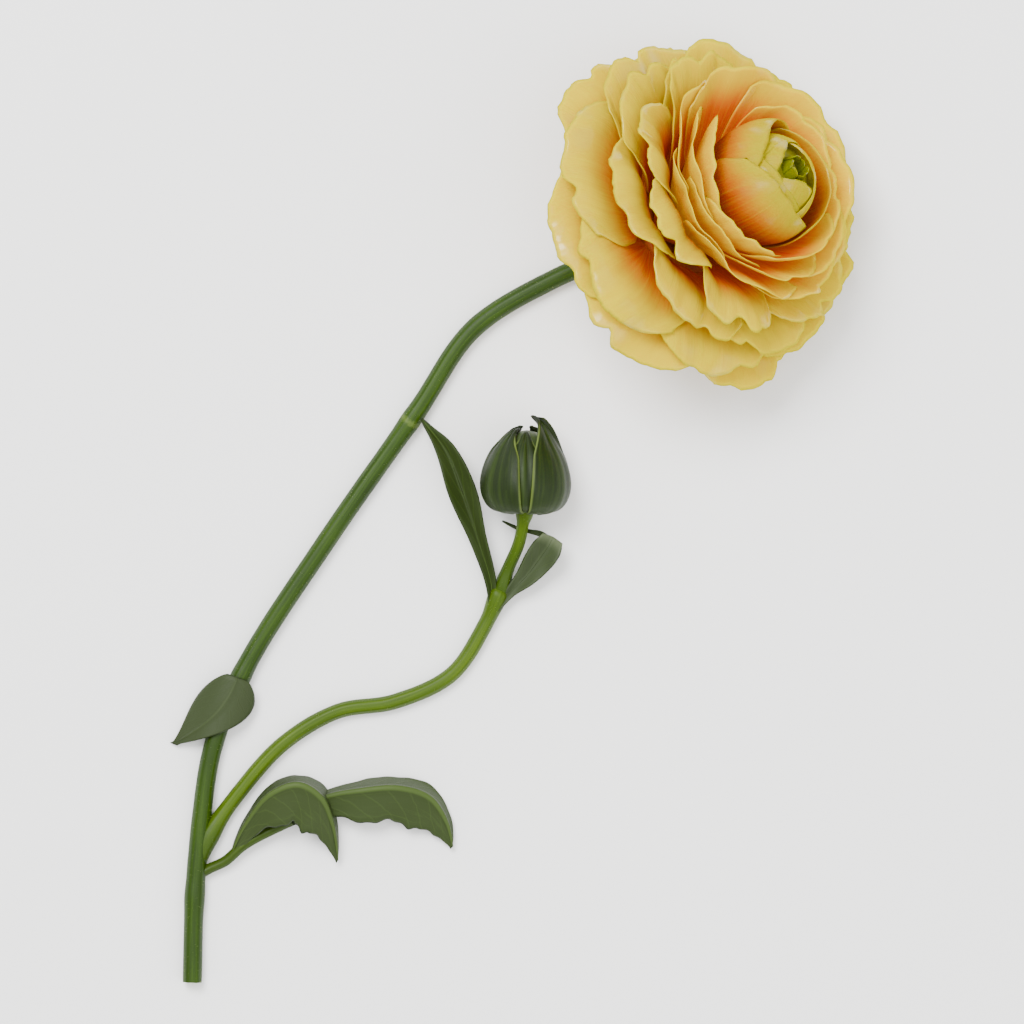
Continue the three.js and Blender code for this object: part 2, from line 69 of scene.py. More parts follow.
def srgb(red: int, green: int, blue: int) -> Color:
    """A colour as the eye names it, 0 to 255, turned to the linear values that shaders take.

    Args:
        red: Share of red.
        green: Share of green.
        blue: Share of blue.

    Returns:
        The linear colour with full alpha.
    """

    def linear(level: int) -> float:
        """One channel, from display level to light."""
        share = level / 255
        return share / 12.92 if share <= 0.04045 else ((share + 0.055) / 1.055) ** 2.4

    return (linear(red), linear(green), linear(blue), 1.0)


def ease(x: np.ndarray | float) -> np.ndarray:
    """A smooth step from 0 to 1."""
    k = np.clip(x, 0, 1)
    return k * k * (3 - 2 * k)


class Feature(IntEnum):
    """What a draw decides. Each feature has its own series of draws."""

    AZIMUTH = 0
    WIDTH = 1
    LENGTH = 2
    EYE_AZIMUTH = 60
    EYE_WARMTH = 61
    EYE_HEIGHT = 62
    EYE_RADIUS = 63


def draw(piece: int, feature: Feature) -> float:
    """A repeatable draw from -1 to 1 for one feature of one piece.

    Args:
        piece: Number of the piece.
        feature: What the draw decides.

    Returns:
        The draw.
    """
    n = math.sin(piece * 12.9898 + feature * 78.233) * 43758.5453
    return 2 * (n - math.floor(n)) - 1


PRESS_SOFTNESS = 0.7


def lie_down(points: np.ndarray, height: np.ndarray | float) -> np.ndarray:
    """Lets what would dip below a height lie down on it instead.

    Args:
        points: Points in millimetres, one to a row.
        height: Height of the surface under each point, or under all.

    Returns:
        The points, with their last column raised where needed.
    """
    x = (points[..., 2] - height) / PRESS_SOFTNESS
    points[..., 2] = height + PRESS_SOFTNESS * np.logaddexp(0, x)
    return points


# ---- routes and outlines


class Route:
    """A smooth centripetal curve through points in space."""

    STEP = 1e-4

    def __init__(self, points: Sequence[Point]) -> None:
        """Keeps the points.

        Args:
            points: Points that the curve passes through, in millimetres.
        """
        self.knots = np.array(points, float)

    def point(self, share: np.ndarray) -> np.ndarray:
        """Points on the curve.

        Args:
            share: Places along the curve from 0 to 1, each span between two knots counting alike.

        Returns:
            One point for each place.
        """
        knots, last = self.knots, len(self.knots) - 1
        at = np.clip(np.atleast_1d(share).astype(float), 0, 1) * last
        span = np.minimum(at.astype(int), last - 1)
        weight = (at - span)[:, None]
        first = 2 * knots[0] - knots[1]
        beyond = 2 * knots[last] - knots[last - 1]
        padded = np.vstack([first, knots, beyond])
        p0, p1, p2, p3 = (padded[span + k] for k in range(4))
        spans = ((p0, p1), (p1, p2), (p2, p3))
        d0, d1, d2 = (np.sqrt(np.linalg.norm(b - a, axis=1))[:, None] for a, b in spans)
        t1 = ((p1 - p0) / d0 - (p2 - p0) / (d0 + d1) + (p2 - p1) / d1) * d1
        t2 = ((p2 - p1) / d1 - (p3 - p1) / (d1 + d2) + (p3 - p2) / d2) * d1
        cubic = 2 * p1 - 2 * p2 + t1 + t2
        square = -3 * p1 + 3 * p2 - 2 * t1 - t2
        return p1 + t1 * weight + square * weight**2 + cubic * weight**3

    def tangent(self, share: np.ndarray) -> np.ndarray:
        """Directions of the curve.

        Args:
            share: Places along the curve from 0 to 1.

        Returns:
            One unit vector for each place.
        """
        low = np.clip(share - self.STEP, 0, 1)
        high = np.clip(share + self.STEP, 0, 1)
        way = self.point(high) - self.point(low)
        return way / np.linalg.norm(way, axis=1)[:, None]


class Outline:
    """A smooth curve through [radius, height] points."""

    STEP = 1e-4

    def __init__(self, points: Sequence[Pair]) -> None:
        """Keeps the points of the outline."""
        self.knots = np.array(points, float)

    def point(self, share: np.ndarray) -> np.ndarray:
        """Points on the outline.

        Args:
            share: Places along the outline from 0 to 1.

        Returns:
            One [radius, height] for each place.
        """
        knots, last = self.knots, len(self.knots) - 1
        at = np.clip(np.atleast_1d(share).astype(float), 0, 1) * last
        span = np.minimum(at.astype(int), last - 1)
        w = (at - span)[:, None]
        padded = np.vstack([knots[0], knots, knots[last]])
        p0, p1, p2, p3 = (padded[span + k] for k in range(4))
        v0, v1 = (p2 - p0) / 2, (p3 - p1) / 2
        return (2 * p1 - 2 * p2 + v0 + v1) * w**3 + (-3 * p1 + 3 * p2 - 2 * v0 - v1) * w**2 + v0 * w + p1

    def outward(self, share: np.ndarray) -> np.ndarray:
        """Directions that point out of the outline.

        Args:
            share: Places along the outline from 0 to 1.

        Returns:
            One unit vector for each place.
        """
        way = self.point(np.clip(share + self.STEP, 0, 1)) - self.point(np.clip(share - self.STEP, 0, 1))
        way /= np.linalg.norm(way, axis=1)[:, None]
        return np.stack([way[:, 1], -way[:, 0]], axis=1)


# ---- node trees written as expressions


class Value:
    """A socket of a node that takes part in Python expressions."""

    def __init__(self, tree: "NodeTree", socket: bpy.types.NodeSocket) -> None:
        """Wraps a socket.

        Args:
            tree: The tree that the socket's node is in.
            socket: The output socket.
        """
        self.tree = tree
        self.socket = socket

    def output(self, name: str) -> "Value":
        """Another output of the same node."""
        return Value(self.tree, self.socket.node.outputs[name])

    def __add__(self, other: "Value | float") -> "Value":
        """self + other."""
        return self.tree.math("ADD", self, other)

    def __radd__(self, other: float) -> "Value":
        """other + self."""
        return self.tree.math("ADD", other, self)

    def __sub__(self, other: "Value | float") -> "Value":
        """self - other."""
        return self.tree.math("SUBTRACT", self, other)

    def __rsub__(self, other: float) -> "Value":
        """other - self."""
        return self.tree.math("SUBTRACT", other, self)

    def __mul__(self, other: "Value | float") -> "Value":
        """self * other."""
        return self.tree.math("MULTIPLY", self, other)

    def __rmul__(self, other: float) -> "Value":
        """other * self."""
        return self.tree.math("MULTIPLY", other, self)

    def __truediv__(self, other: "Value | float") -> "Value":
        """self / other."""
        return self.tree.math("DIVIDE", self, other)

    def __pow__(self, other: "Value | float") -> "Value":
        """self ** other."""
        return self.tree.math("POWER", self, other)

    def __neg__(self) -> "Value":
        """-self."""
        return self.tree.math("MULTIPLY", self, -1.0)

    def __abs__(self) -> "Value":
        """abs(self)."""
        return self.tree.math("ABSOLUTE", self)

    def sin(self) -> "Value":
        """Sine of an angle in radians."""
        return self.tree.math("SINE", self)

    def cos(self) -> "Value":
        """Cosine of an angle in radians."""
        return self.tree.math("COSINE", self)

    def sqrt(self) -> "Value":
        """Square root."""
        return self.tree.math("SQRT", self)

    def exp(self) -> "Value":
        """The exponential."""
        return self.tree.math("EXPONENT", self)

    def log(self) -> "Value":
        """The natural logarithm."""
        return self.tree.math("LOGARITHM", self, math.e)

    def least(self, other: "Value | float") -> "Value":
        """The smaller of two values."""
        return self.tree.math("MINIMUM", self, other)

    def most(self, other: "Value | float") -> "Value":
        """The larger of two values."""
        return self.tree.math("MAXIMUM", self, other)

    def smooth(self, low: "Value | float", high: "Value | float") -> "Value":
        """A smooth step from 0 at one value to 1 at another.

        Args:
            low: Where the step starts.
            high: Where the step ends.

        Returns:
            The step.
        """
        return self.tree.add(
            "ShaderNodeMapRange",
            {"interpolation_type": "SMOOTHSTEP"},
            {"Value": self, "From Min": low, "From Max": high},
        )


class NodeTree:
    """A node tree, and the one way in which this script adds nodes to it."""

    def __init__(self, tree: bpy.types.NodeTree) -> None:
        """Wraps a tree of Blender's."""
        self.tree = tree

    def add(
        self,
        kind: str,
        settings: dict[str, Any] | None = None,
        inputs: dict[str | int, Any] | None = None,
        output: str | int = 0,
    ) -> Value:
        """Adds a node, sets it up and joins its inputs.

        Args:
            kind: The node's type.
            settings: Settings of the node, set before its inputs. "stops" fills a ramp.
            inputs: Values or links for its inputs, by name or place. A list joins several to one input.
            output: The output to return.

        Returns:
            That output.
        """
        node = self.tree.nodes.new(kind)
        for name, setting in (settings or {}).items():
            if name == "stops":
                self._fill_ramp(node, setting)
            else:
                setattr(node, name, setting)
        for key, given in (inputs or {}).items():
            socket = node.inputs[key]
            for one in given if isinstance(given, list) else [given]:
                if isinstance(one, Value):
                    self.tree.links.new(one.socket, socket)
                else:
                    socket.default_value = one
        return Value(self, node.outputs[output])

    @staticmethod
    def _fill_ramp(node: bpy.types.Node, stops: Sequence[tuple[float, Color]]) -> None:
        """Gives a ramp its stops.

        Args:
            node: The ramp's node.
            stops: Place and colour of each stop, in order.
        """
        elements = node.color_ramp.elements
        while len(elements) < len(stops):
            elements.new(1.0)
        for element, (place, color) in zip(elements, stops):
            element.position = place
            element.color = color

    def math(self, operation: str, *operands: Value | float) -> Value:
        """A Math node on one or two operands."""
        return self.add("ShaderNodeMath", {"operation": operation}, dict(enumerate(operands)))

    def vector(self, x: Value | float, y: Value | float, z: Value | float) -> Value:
        """A vector from its three parts."""
        return self.add("ShaderNodeCombineXYZ", inputs={0: x, 1: y, 2: z})

    def parts(self, vector: Value) -> tuple[Value, Value, Value]:
        """The three parts of a vector."""
        x = self.add("ShaderNodeSeparateXYZ", inputs={0: vector})
        return x, x.output("Y"), x.output("Z")

    def vector_math(self, operation: str, *operands: Value | Point) -> Value:
        """A Vector Math node on one or two vectors."""
        return self.add("ShaderNodeVectorMath", {"operation": operation}, dict(enumerate(operands)))

    def scaled(self, vector: Value | Point, factor: Value | float) -> Value:
        """A vector times a number."""
        return self.add("ShaderNodeVectorMath", {"operation": "SCALE"}, {0: vector, "Scale": factor})

    def noise(self, vector: Value, scale: float = 1.0, detail: float = 2.0) -> Value:
        """Soft noise.

        Args:
            vector: Where it is read.
            scale: How many waves fit in a unit.
            detail: How many finer waves are added.

        Returns:
            The noise, about 0.5 on average.
        """
        return self.add("ShaderNodeTexNoise", inputs={"Vector": vector, "Scale": scale, "Detail": detail})


class GeometryTree(NodeTree):
    """A Geometry Nodes tree with named inputs for its sizes."""

    WELD = 1e-7

    def __init__(self, name: str) -> None:
        """Starts a tree that takes and returns geometry.

        Args:
            name: The tree's name.
        """
        super().__init__(bpy.data.node_groups.new(name, "GeometryNodeTree"))
        faces = self.tree.interface
        faces.new_socket("Geometry", in_out="OUTPUT", socket_type="NodeSocketGeometry")
        faces.new_socket("Geometry", in_out="INPUT", socket_type="NodeSocketGeometry")
        faces.new_socket("Material", in_out="INPUT", socket_type="NodeSocketMaterial")
        self.entry = self.tree.nodes.new("NodeGroupInput")

    def size(self, name: str, kind: str = "Float") -> Value:
        """Adds a named input.

        Args:
            name: The input's name.
            kind: What it takes, such as Float or Int.

        Returns:
            The input inside the tree.
        """
        self.tree.interface.new_socket(name, in_out="INPUT", socket_type=f"NodeSocket{kind}")
        return self.given(name)

    def given(self, name: str) -> Value:
        """An input that the tree already has."""
        return Value(self, self.entry.outputs[name])

    def store(self, geometry: Value, name: str, value: Value | float) -> Value:
        """Writes a number on every point."""
        inputs = {"Geometry": geometry, "Name": name, "Value": value}
        return self.add("GeometryNodeStoreNamedAttribute", inputs=inputs)

    def read(self, name: str) -> Value:
        """Reads a number from every point."""
        return self.add("GeometryNodeInputNamedAttribute", inputs={"Name": name})

    def place(self, geometry: Value, position: Value) -> Value:
        """Moves every point to a position."""
        return self.add("GeometryNodeSetPosition", inputs={"Geometry": geometry, "Position": position})

    def shift(self, geometry: Value, offset: Value) -> Value:
        """Moves every point by an offset."""
        return self.add("GeometryNodeSetPosition", inputs={"Geometry": geometry, "Offset": offset})

    def thicken(self, sheet: Value, half_thickness: Value) -> Value:
        """Makes a closed blade of a sheet: two faces that meet where the half thickness falls to nothing.

        Args:
            sheet: The sheet.
            half_thickness: Distance from the sheet to each face, in metres, nothing along its border.

        Returns:
            The blade, which says on every point how much it belongs to the sheet's upper face.
        """
        normal = self.add("GeometryNodeInputNormal")
        upper = self.shift(self.store(sheet, "upper", 1.0), self.scaled(normal, half_thickness))
        lower = self.shift(self.store(sheet, "upper", 0.0), self.scaled(normal, -half_thickness))
        turned = self.add("GeometryNodeFlipFaces", inputs={"Mesh": lower})
        both = self.add("GeometryNodeJoinGeometry", inputs={"Geometry": [upper, turned]})
        return self.add("GeometryNodeMergeByDistance", inputs={"Geometry": both, "Distance": self.WELD})

    def round_axis(self, axis: "Axis", radius: Value, height: Value, angle: Value) -> Value:
        """Points from their place round an axis.

        Args:
            axis: The axis.
            radius: Distances from it, in millimetres.
            height: Distances along it, in millimetres.
            angle: Angles round it.

        Returns:
            The points in millimetres.
        """
        point = self.scaled(tuple(axis.across), radius * angle.cos())
        for way, amount in ((axis.aside, radius * angle.sin()), (axis.along, height)):
            point = self.vector_math("ADD", point, self.scaled(tuple(way), amount))
        return self.vector_math("ADD", point, tuple(axis.base))

    def close(self, geometry: Value) -> None:
        """Ends the tree: smooth shading, real geometry and its material.

        Args:
            geometry: What the tree has made.
        """
        smooth = self.add("GeometryNodeSetShadeSmooth", inputs={"Geometry": geometry})
        real = self.add("GeometryNodeRealizeInstances", inputs={"Geometry": smooth})
        inputs = {"Geometry": real, "Material": self.given("Material")}
        dressed = self.add("GeometryNodeSetMaterial", inputs=inputs)
        leave = self.tree.nodes.new("NodeGroupOutput")
        self.tree.links.new(dressed.socket, leave.inputs[0])

    def run(self, name: str, data: bpy.types.ID, **sizes: Any) -> bpy.types.Object:
        """Runs the tree once and keeps the result as a plain mesh.

        Args:
            name: Name of the finished piece.
            data: The mesh or curve that the tree starts from.
            **sizes: The tree's inputs, with underscores for the blanks in their names.

        Returns:
            The finished piece, with no modifier left on it.
        """
        carrier = bpy.data.objects.new("carrier", data)
        bpy.context.scene.collection.objects.link(carrier)
        modifier = carrier.modifiers.new("form", "NODES")
        modifier.node_group = self.tree
        sockets = {s.name: s.identifier for s in self.tree.interface.items_tree if s.in_out == "INPUT"}
        for key, value in sizes.items():
            modifier[sockets[key.replace("_", " ").capitalize()]] = value
        bpy.context.view_layer.update()
        graph = bpy.context.evaluated_depsgraph_get()
        mesh = bpy.data.meshes.new_from_object(carrier.evaluated_get(graph), depsgraph=graph)
        bpy.data.objects.remove(carrier)
        return piece_of(name, mesh)


def piece_of(name: str, mesh: bpy.types.Mesh) -> bpy.types.Object:
    """Makes an object of a mesh and links it to the scene.

    Args:
        name: The piece's name.
        mesh: Its mesh.

    Returns:
        The piece.
    """
    mesh.name = name
    piece = bpy.data.objects.new(name, mesh)
    bpy.context.scene.collection.objects.link(piece)
    return piece


def keep(piece: bpy.types.Object, node: str) -> bpy.types.Object:
    """Says which solid a finished piece stands for.

    Args:
        piece: The piece.
        node: The solid's name.

    Returns:
        The piece.
    """
    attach(piece, BODY)
    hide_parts(node)
    LOG.info("%s: %d faces, for %s", piece.name, len(piece.data.polygons), node)
    return piece


# ---- the flower's own frames


@dataclass(frozen=True)
class Axis:
    """An axis that petals or sepals stand round."""

    base: np.ndarray
    across: np.ndarray
    aside: np.ndarray
    along: np.ndarray

    def point(
        self, radius: np.ndarray | float, height: np.ndarray | float, azimuth: np.ndarray | float
    ) -> np.ndarray:
        """Points from their place round the axis.

        Args:
            radius: Distances from the axis.
            height: Distances along it.
            azimuth: Angles round it, in radians.

        Returns:
            The points in millimetres.
        """
        radius, height, azimuth = np.broadcast_arrays(radius, height, azimuth)
        return (
            self.base
            + (radius * np.cos(azimuth))[..., None] * self.across
            + (radius * np.sin(azimuth))[..., None] * self.aside
            + height[..., None] * self.along
        )


UP = np.array([0.0, 0.0, 1.0])
REST_SPOT = np.array([-0.5, -5.2, 0.0])
BLOOM_LEAN = math.radians(47)
BLOOM_HEADING = math.radians(24)
BLOOM_CENTRE = np.array([-15.5, -6.9, 16.0])
BUD_BASE = np.array([-47.6, -60.9, 6.9])
BUD_WAY = np.array([0.02, 1.0, 0.06])


def bloom_axis() -> Axis:
    """The bloom's axis.

    Returns:
        The axis. Azimuth 0 is the far, low side of the bloom.
    """
    heading = np.array([math.cos(BLOOM_HEADING), math.sin(BLOOM_HEADING), 0.0])
    along = heading * math.sin(BLOOM_LEAN) + UP * math.cos(BLOOM_LEAN)
    across = heading * math.cos(BLOOM_LEAN) - UP * math.sin(BLOOM_LEAN)
    return Axis(BLOOM_CENTRE, across, np.cross(along, across), along)


def bud_axis() -> Axis:
    """The bud's axis.

    Returns:
        The axis. Azimuth 270 degrees is the bud's top side.
    """
    along = BUD_WAY / np.linalg.norm(BUD_WAY)
    side = np.cross(along, UP)
    side /= np.linalg.norm(side)
    return Axis(BUD_BASE, side, np.cross(along, side), along)


BLOOM = bloom_axis()
BUD = bud_axis()


def in_frame(points: np.ndarray) -> np.ndarray:
    """Layout points in millimetres as points of the shared frame in metres."""
    return (points - REST_SPOT) * MM


# ---- meshes


def write_columns(mesh: bpy.types.Mesh, columns: dict[str, Iterable[float]]) -> None:
    """Writes numbers on the points of a mesh.

    Args:
        mesh: The mesh.
        columns: One number for each point, by what the numbers mean.
    """
    for key, values in columns.items():
        column = mesh.attributes.new(key, "FLOAT", "POINT")
        column.data.foreach_set("value", np.fromiter(values, np.float32))


def grid_mesh(name: str, surface: Surface, along: int, across: int) -> bpy.types.Mesh:
    """An open sheet over a surface, which knows its place along and across on every point.

    Args:
        name: The mesh's name.
        surface: Gives points in millimetres from places along, 0 to 1, and across, -1 to 1.
        along: Steps along.
        across: Steps across.

    Returns:
        The sheet in metres.
    """
    s, t = np.meshgrid(np.linspace(0, 1, along + 1), np.linspace(-1, 1, across + 1), indexing="ij")
    points = in_frame(surface(s.ravel(), t.ravel()))
    first = (np.arange(along)[:, None] * (across + 1) + np.arange(across)).ravel()
    faces = np.stack([first, first + across + 1, first + across + 2, first + 1], axis=1)
    mesh = bpy.data.meshes.new(name)
    mesh.from_pydata(points.tolist(), [], faces.tolist())
    write_columns(mesh, {"along": s.ravel(), "across": t.ravel()})
    return mesh


def turned_mesh(name: str, points: Sequence[Pair], sides: int, axis: Axis) -> bpy.types.Mesh:
    """A closed shape turned round an axis.

    Args:
        name: The mesh's name.
        points: Its outline as [radius, height], from one end on the axis to the other.
        sides: How many sides it has.
        axis: The axis.

    Returns:
        The mesh in metres.
    """
    turn = np.linspace(0, 2 * math.pi, sides, endpoint=False)
    rings = [axis.point(radius, height, turn) for radius, height in points[1:-1]]
    ends = [axis.point(0.0, height, 0.0) for _, height in (points[0], points[-1])]
    vertices = in_frame(np.vstack([*rings, *ends]))
    count = len(rings)
    low, high = count * sides, count * sides + 1
    nexts = [(k + 1) % sides for k in range(sides)]
    faces = [(low, nexts[k], k) for k in range(sides)]
    faces += [
        (r * sides + k, r * sides + nexts[k], (r + 1) * sides + nexts[k], (r + 1) * sides + k)
        for r in range(count - 1)
        for k in range(sides)
    ]
    faces += [(high, (count - 1) * sides + k, (count - 1) * sides + nexts[k]) for k in range(sides)]
    mesh = bpy.data.meshes.new(name)
    mesh.from_pydata(vertices.tolist(), [], faces)
    mesh.shade_smooth()
    return mesh


def seats_mesh(name: str, columns: dict[str, Sequence[float]]) -> bpy.types.Mesh:
    """Points that carry numbers and no shape: one seat for each petal of a row.

    Args:
        name: The mesh's name.
        columns: The numbers of all seats, by what they mean.

    Returns:
        The mesh of loose points.
    """
    mesh = bpy.data.meshes.new(name)
    count = len(next(iter(columns.values())))
    mesh.from_pydata([(0, 0, 0)] * count, [], [])
    write_columns(mesh, columns)
    return mesh


# ---- finishes


class MaterialTree(NodeTree):
    """The node tree of a material with one shader."""

    def __init__(self, name: str, **constants: float | Color | Point) -> None:
        """Starts the material.

        Args:
            name: The material's name.
            **constants: Values that are the same all over, by socket name with underscores for blanks.
        """
        self.material = bpy.data.materials.new(name)
        self.material.use_nodes = True
        super().__init__(self.material.node_tree)
        self.shader = next(node for node in self.tree.nodes if node.type == "BSDF_PRINCIPLED")
        for key, value in constants.items():
            self.shader.inputs[self.socket_name(key)].default_value = value

    @staticmethod
    def socket_name(key: str) -> str:
        """The shader's own name for an input."""
        return key.replace("_", " ").title().replace("Ior", "IOR")

    def feed(self, **varying: Value) -> bpy.types.Material:
        """Joins what changes over the surface to the shader.

        Args:
            **varying: Values by socket name with underscores for blanks.

        Returns:
            The finished material.
        """
        for key, value in varying.items():
            self.tree.links.new(value.socket, self.shader.inputs[self.socket_name(key)])
        return self.material

    def attribute(self, name: str) -> Value:
        """A number that every point of the piece carries."""
        return self.add("ShaderNodeAttribute", {"attribute_name": name}, output="Fac")

    def here(self) -> Value:
        """The place on the piece, in millimetres."""
        return self.scaled(self.add("ShaderNodeTexCoord", output="Object"), 1 / MM)

    def ramp(self, place: Value, *stops: tuple[float, Color]) -> Value:
        """A colour from a ramp.

        Args:
            place: Where on the ramp.
            *stops: Place and colour of each stop, in order.

        Returns:
            The colour.
        """
        return self.add("ShaderNodeValToRGB", {"stops": stops}, {"Fac": place})

    def mix(self, share: Value | float, first: Value | Color, second: Value | Color) -> Value:
        """A colour between two others.

        Args:
            share: Share of the second colour.
            first: The first colour.
            second: The second colour.

        Returns:
            The mixed colour.
        """
        return self.add("ShaderNodeMix", {"data_type": "RGBA"}, {0: share, 6: first, 7: second}, output=2)

    def bump(self, height: Value, strength: float, distance: float) -> Value:
        """A surface normal that follows a height.

        Args:
            height: The height, 0 to 1.
            strength: How much of it shows.
            distance: The height of 1, in millimetres.

        Returns:
            The normal.
        """
        inputs = {"Strength": strength, "Distance": distance * MM, "Height": height}
        return self.add("ShaderNodeBump", inputs=inputs)


@dataclass(frozen=True)
class PetalFinish:
    """Satin petals that go from a pale rim to a warm root, with fine veins along them. The warm root is
    partly the petals' own orange and partly painted shade in the crease and under overlapping edges.

    Of the warm root, the petal's outer face shows the share "back", and "inside" warms its inner face more.
    The petal also glows faintly in its own colour, a painted light that stands in for light shining through
    it.
    """

    STOPS = (0.0, 0.22, 0.5, 0.74, 1.0)
    SHIFT = 0.04
    STREAK_WAVES = 16
    CLOUD_WAVES = 2.2
    VEIN_WAVES = 46
    STREAK_SHARE = 0.1
    WARM_STREAK_SHARE = 0.35
    CLOUD_SHARE = 0.22
    TIP_FADE = 0.6
    PALE_END = 0.955
    PALE_SIDE = 0.94
    SIDE_SHARE = 0.6
    EDGE_STRENGTH = 0.45
    VEIN_LEVEL = 0.42
    VEIN_STRENGTH = 0.5
    GLOSS_SPREAD = 0.22
    SHEEN_CLOUDS = (0.48, 0.68)
    SHEEN_REACH = (0.35, 0.85)

    name: str
    rim: Color
    body: Color
    golden: Color
    warm: Color
    deep: Color
    back: float = 0.55
    inside: float = 0.0
    gloss: float = 0.4
    satin: float = 0.9
    # painted light: the petal glows faintly in its own colour, standing in for light shining through it
    painted_glow: float = 0.18

    def make(self) -> bpy.types.Material:
        """Makes the material.

        Returns:
            The material.
        """
        tree = MaterialTree(
            self.name,
            subsurface_weight=0.35,
            subsurface_radius=(1.0, 0.55, 0.08),
            subsurface_scale=0.002,
            specular_ior_level=0.0,
            coat_roughness=0.2,
            # Painted light: the petal glows in its own colour, which lifts its shade and stands in for
            # light through it
            emission_strength=self.painted_glow,
        )
        along, across = tree.attribute("along"), tree.attribute("across")
        petal, warmth = tree.attribute("petal"), tree.attribute("warmth")
        upper = tree.attribute("upper")
        streak_place = tree.vector(across * self.STREAK_WAVES + petal * 9.1, along * 1.6, petal * 3.7)
        streaks = tree.noise(streak_place, detail=3.0)
        cloud_place = tree.vector(across * self.CLOUD_WAVES + petal * 5.3, along * 2.6, petal * 1.9)
        clouds = tree.noise(cloud_place)
        vein_place = tree.vector(across * self.VEIN_WAVES, along * 2.2, petal * 7.7)
        veins = tree.noise(vein_place, detail=1.0)
        inner = 1 - upper
        face = inner * (1 - self.back) + self.back
        inside = inner * (1 - along.smooth(0.8, 1.0) * self.TIP_FADE) * self.inside
        streaked = (streaks - 0.5) * (self.STREAK_SHARE + warmth * self.WARM_STREAK_SHARE)
        tone = warmth * face + inside + streaked + (clouds - 0.5) * self.CLOUD_SHARE
        stops = zip(self.STOPS, (self.rim, self.body, self.golden, self.warm, self.deep))
        color = tree.ramp(tone + self.SHIFT, *stops)
        side = abs(across).smooth(self.PALE_SIDE, 1.0) * self.SIDE_SHARE
        edge = along.smooth(self.PALE_END, 1.0).most(side)
        color = tree.mix(edge * self.EDGE_STRENGTH, color, self.rim)
        color = tree.mix((veins - self.VEIN_LEVEL).most(0.0) * self.VEIN_STRENGTH, color, self.rim)
        sheen = clouds.smooth(*self.SHEEN_CLOUDS) * along.smooth(*self.SHEEN_REACH)
        return tree.feed(
            base_color=color,
            emission_color=color,
            roughness=self.gloss + (streaks - 0.5) * self.GLOSS_SPREAD,
            coat_weight=sheen * self.satin,
            normal=tree.bump(veins * 0.55 + streaks * 0.45, strength=0.6, distance=0.25),
        )


@dataclass(frozen=True)
class LeafFinish:
    """Matt leaves with a paler midrib, side veins and a thin rim."""

    MOTTLE_SIZE = 0.55
    MOTTLE_STRENGTH = 1.6
    GRAIN_SIZE = 5.0
    VEIN_SLANT = 1.9
    VEIN_UNEVENNESS = 0.35
    STREAK_WAVES = 22
    STREAK_STRENGTH = 0.22
    RIM_STRENGTH = 0.7
    END_START = 0.78
    GLOSS = 0.52
    GLOSS_SPREAD = 0.25

    name: str
    upper: Color
    under: Color
    rib: Color
    rim: Color
    rib_width: float = 0.07
    rib_strength: float = 0.75
    veins: float = 9.0
    vein_strength: float = 0.32
    rim_width: float = 0.05
    end: Color = srgb(60, 74, 40)
    end_strength: float = 0.0

    def make(self) -> bpy.types.Material:
        """Makes the material.

        Returns:
            The material.
        """
        tree = MaterialTree(self.name, specular_ior_level=0.16)
        along, across = tree.attribute("along"), tree.attribute("across")
        mottle = tree.noise(tree.here(), self.MOTTLE_SIZE, 4.0)
        grain = tree.noise(tree.here(), self.GRAIN_SIZE, 3.0)
        color = tree.mix(tree.attribute("upper"), self.under, self.upper)
        color = tree.mix((mottle - 0.5).most(0.0) * self.MOTTLE_STRENGTH, color, self.under)
        turns = along * self.veins - abs(across) * self.VEIN_SLANT + mottle * self.VEIN_UNEVENNESS
        side_vein = (turns * (2 * math.pi)).cos().smooth(0.9, 1.0) * abs(across).smooth(0.0, 0.15)
        color = tree.mix(side_vein * self.vein_strength, color, self.rib)
        streak = tree.noise(tree.vector(across * self.STREAK_WAVES, along * 2.0, mottle), detail=1.0)
        color = tree.mix(streak.smooth(0.55, 0.75) * self.STREAK_STRENGTH, color, self.rib)
        midrib = 1 - abs(across).smooth(self.rib_width * 0.4, self.rib_width)
        color = tree.mix(midrib * self.rib_strength, color, self.rib)
        rim = abs(across).smooth(1 - self.rim_width, 1.0)
        color = tree.mix(rim * self.RIM_STRENGTH, color, self.rim)
        color = tree.mix(along.smooth(self.END_START, 1.0) * self.end_strength, color, self.end)
        height = grain * 0.4 + midrib * 0.6 + side_vein * 0.25
        return tree.feed(
            base_color=color,
            roughness=self.GLOSS + (grain - 0.5) * self.GLOSS_SPREAD,
            normal=tree.bump(height, strength=0.5, distance=0.15),
        )


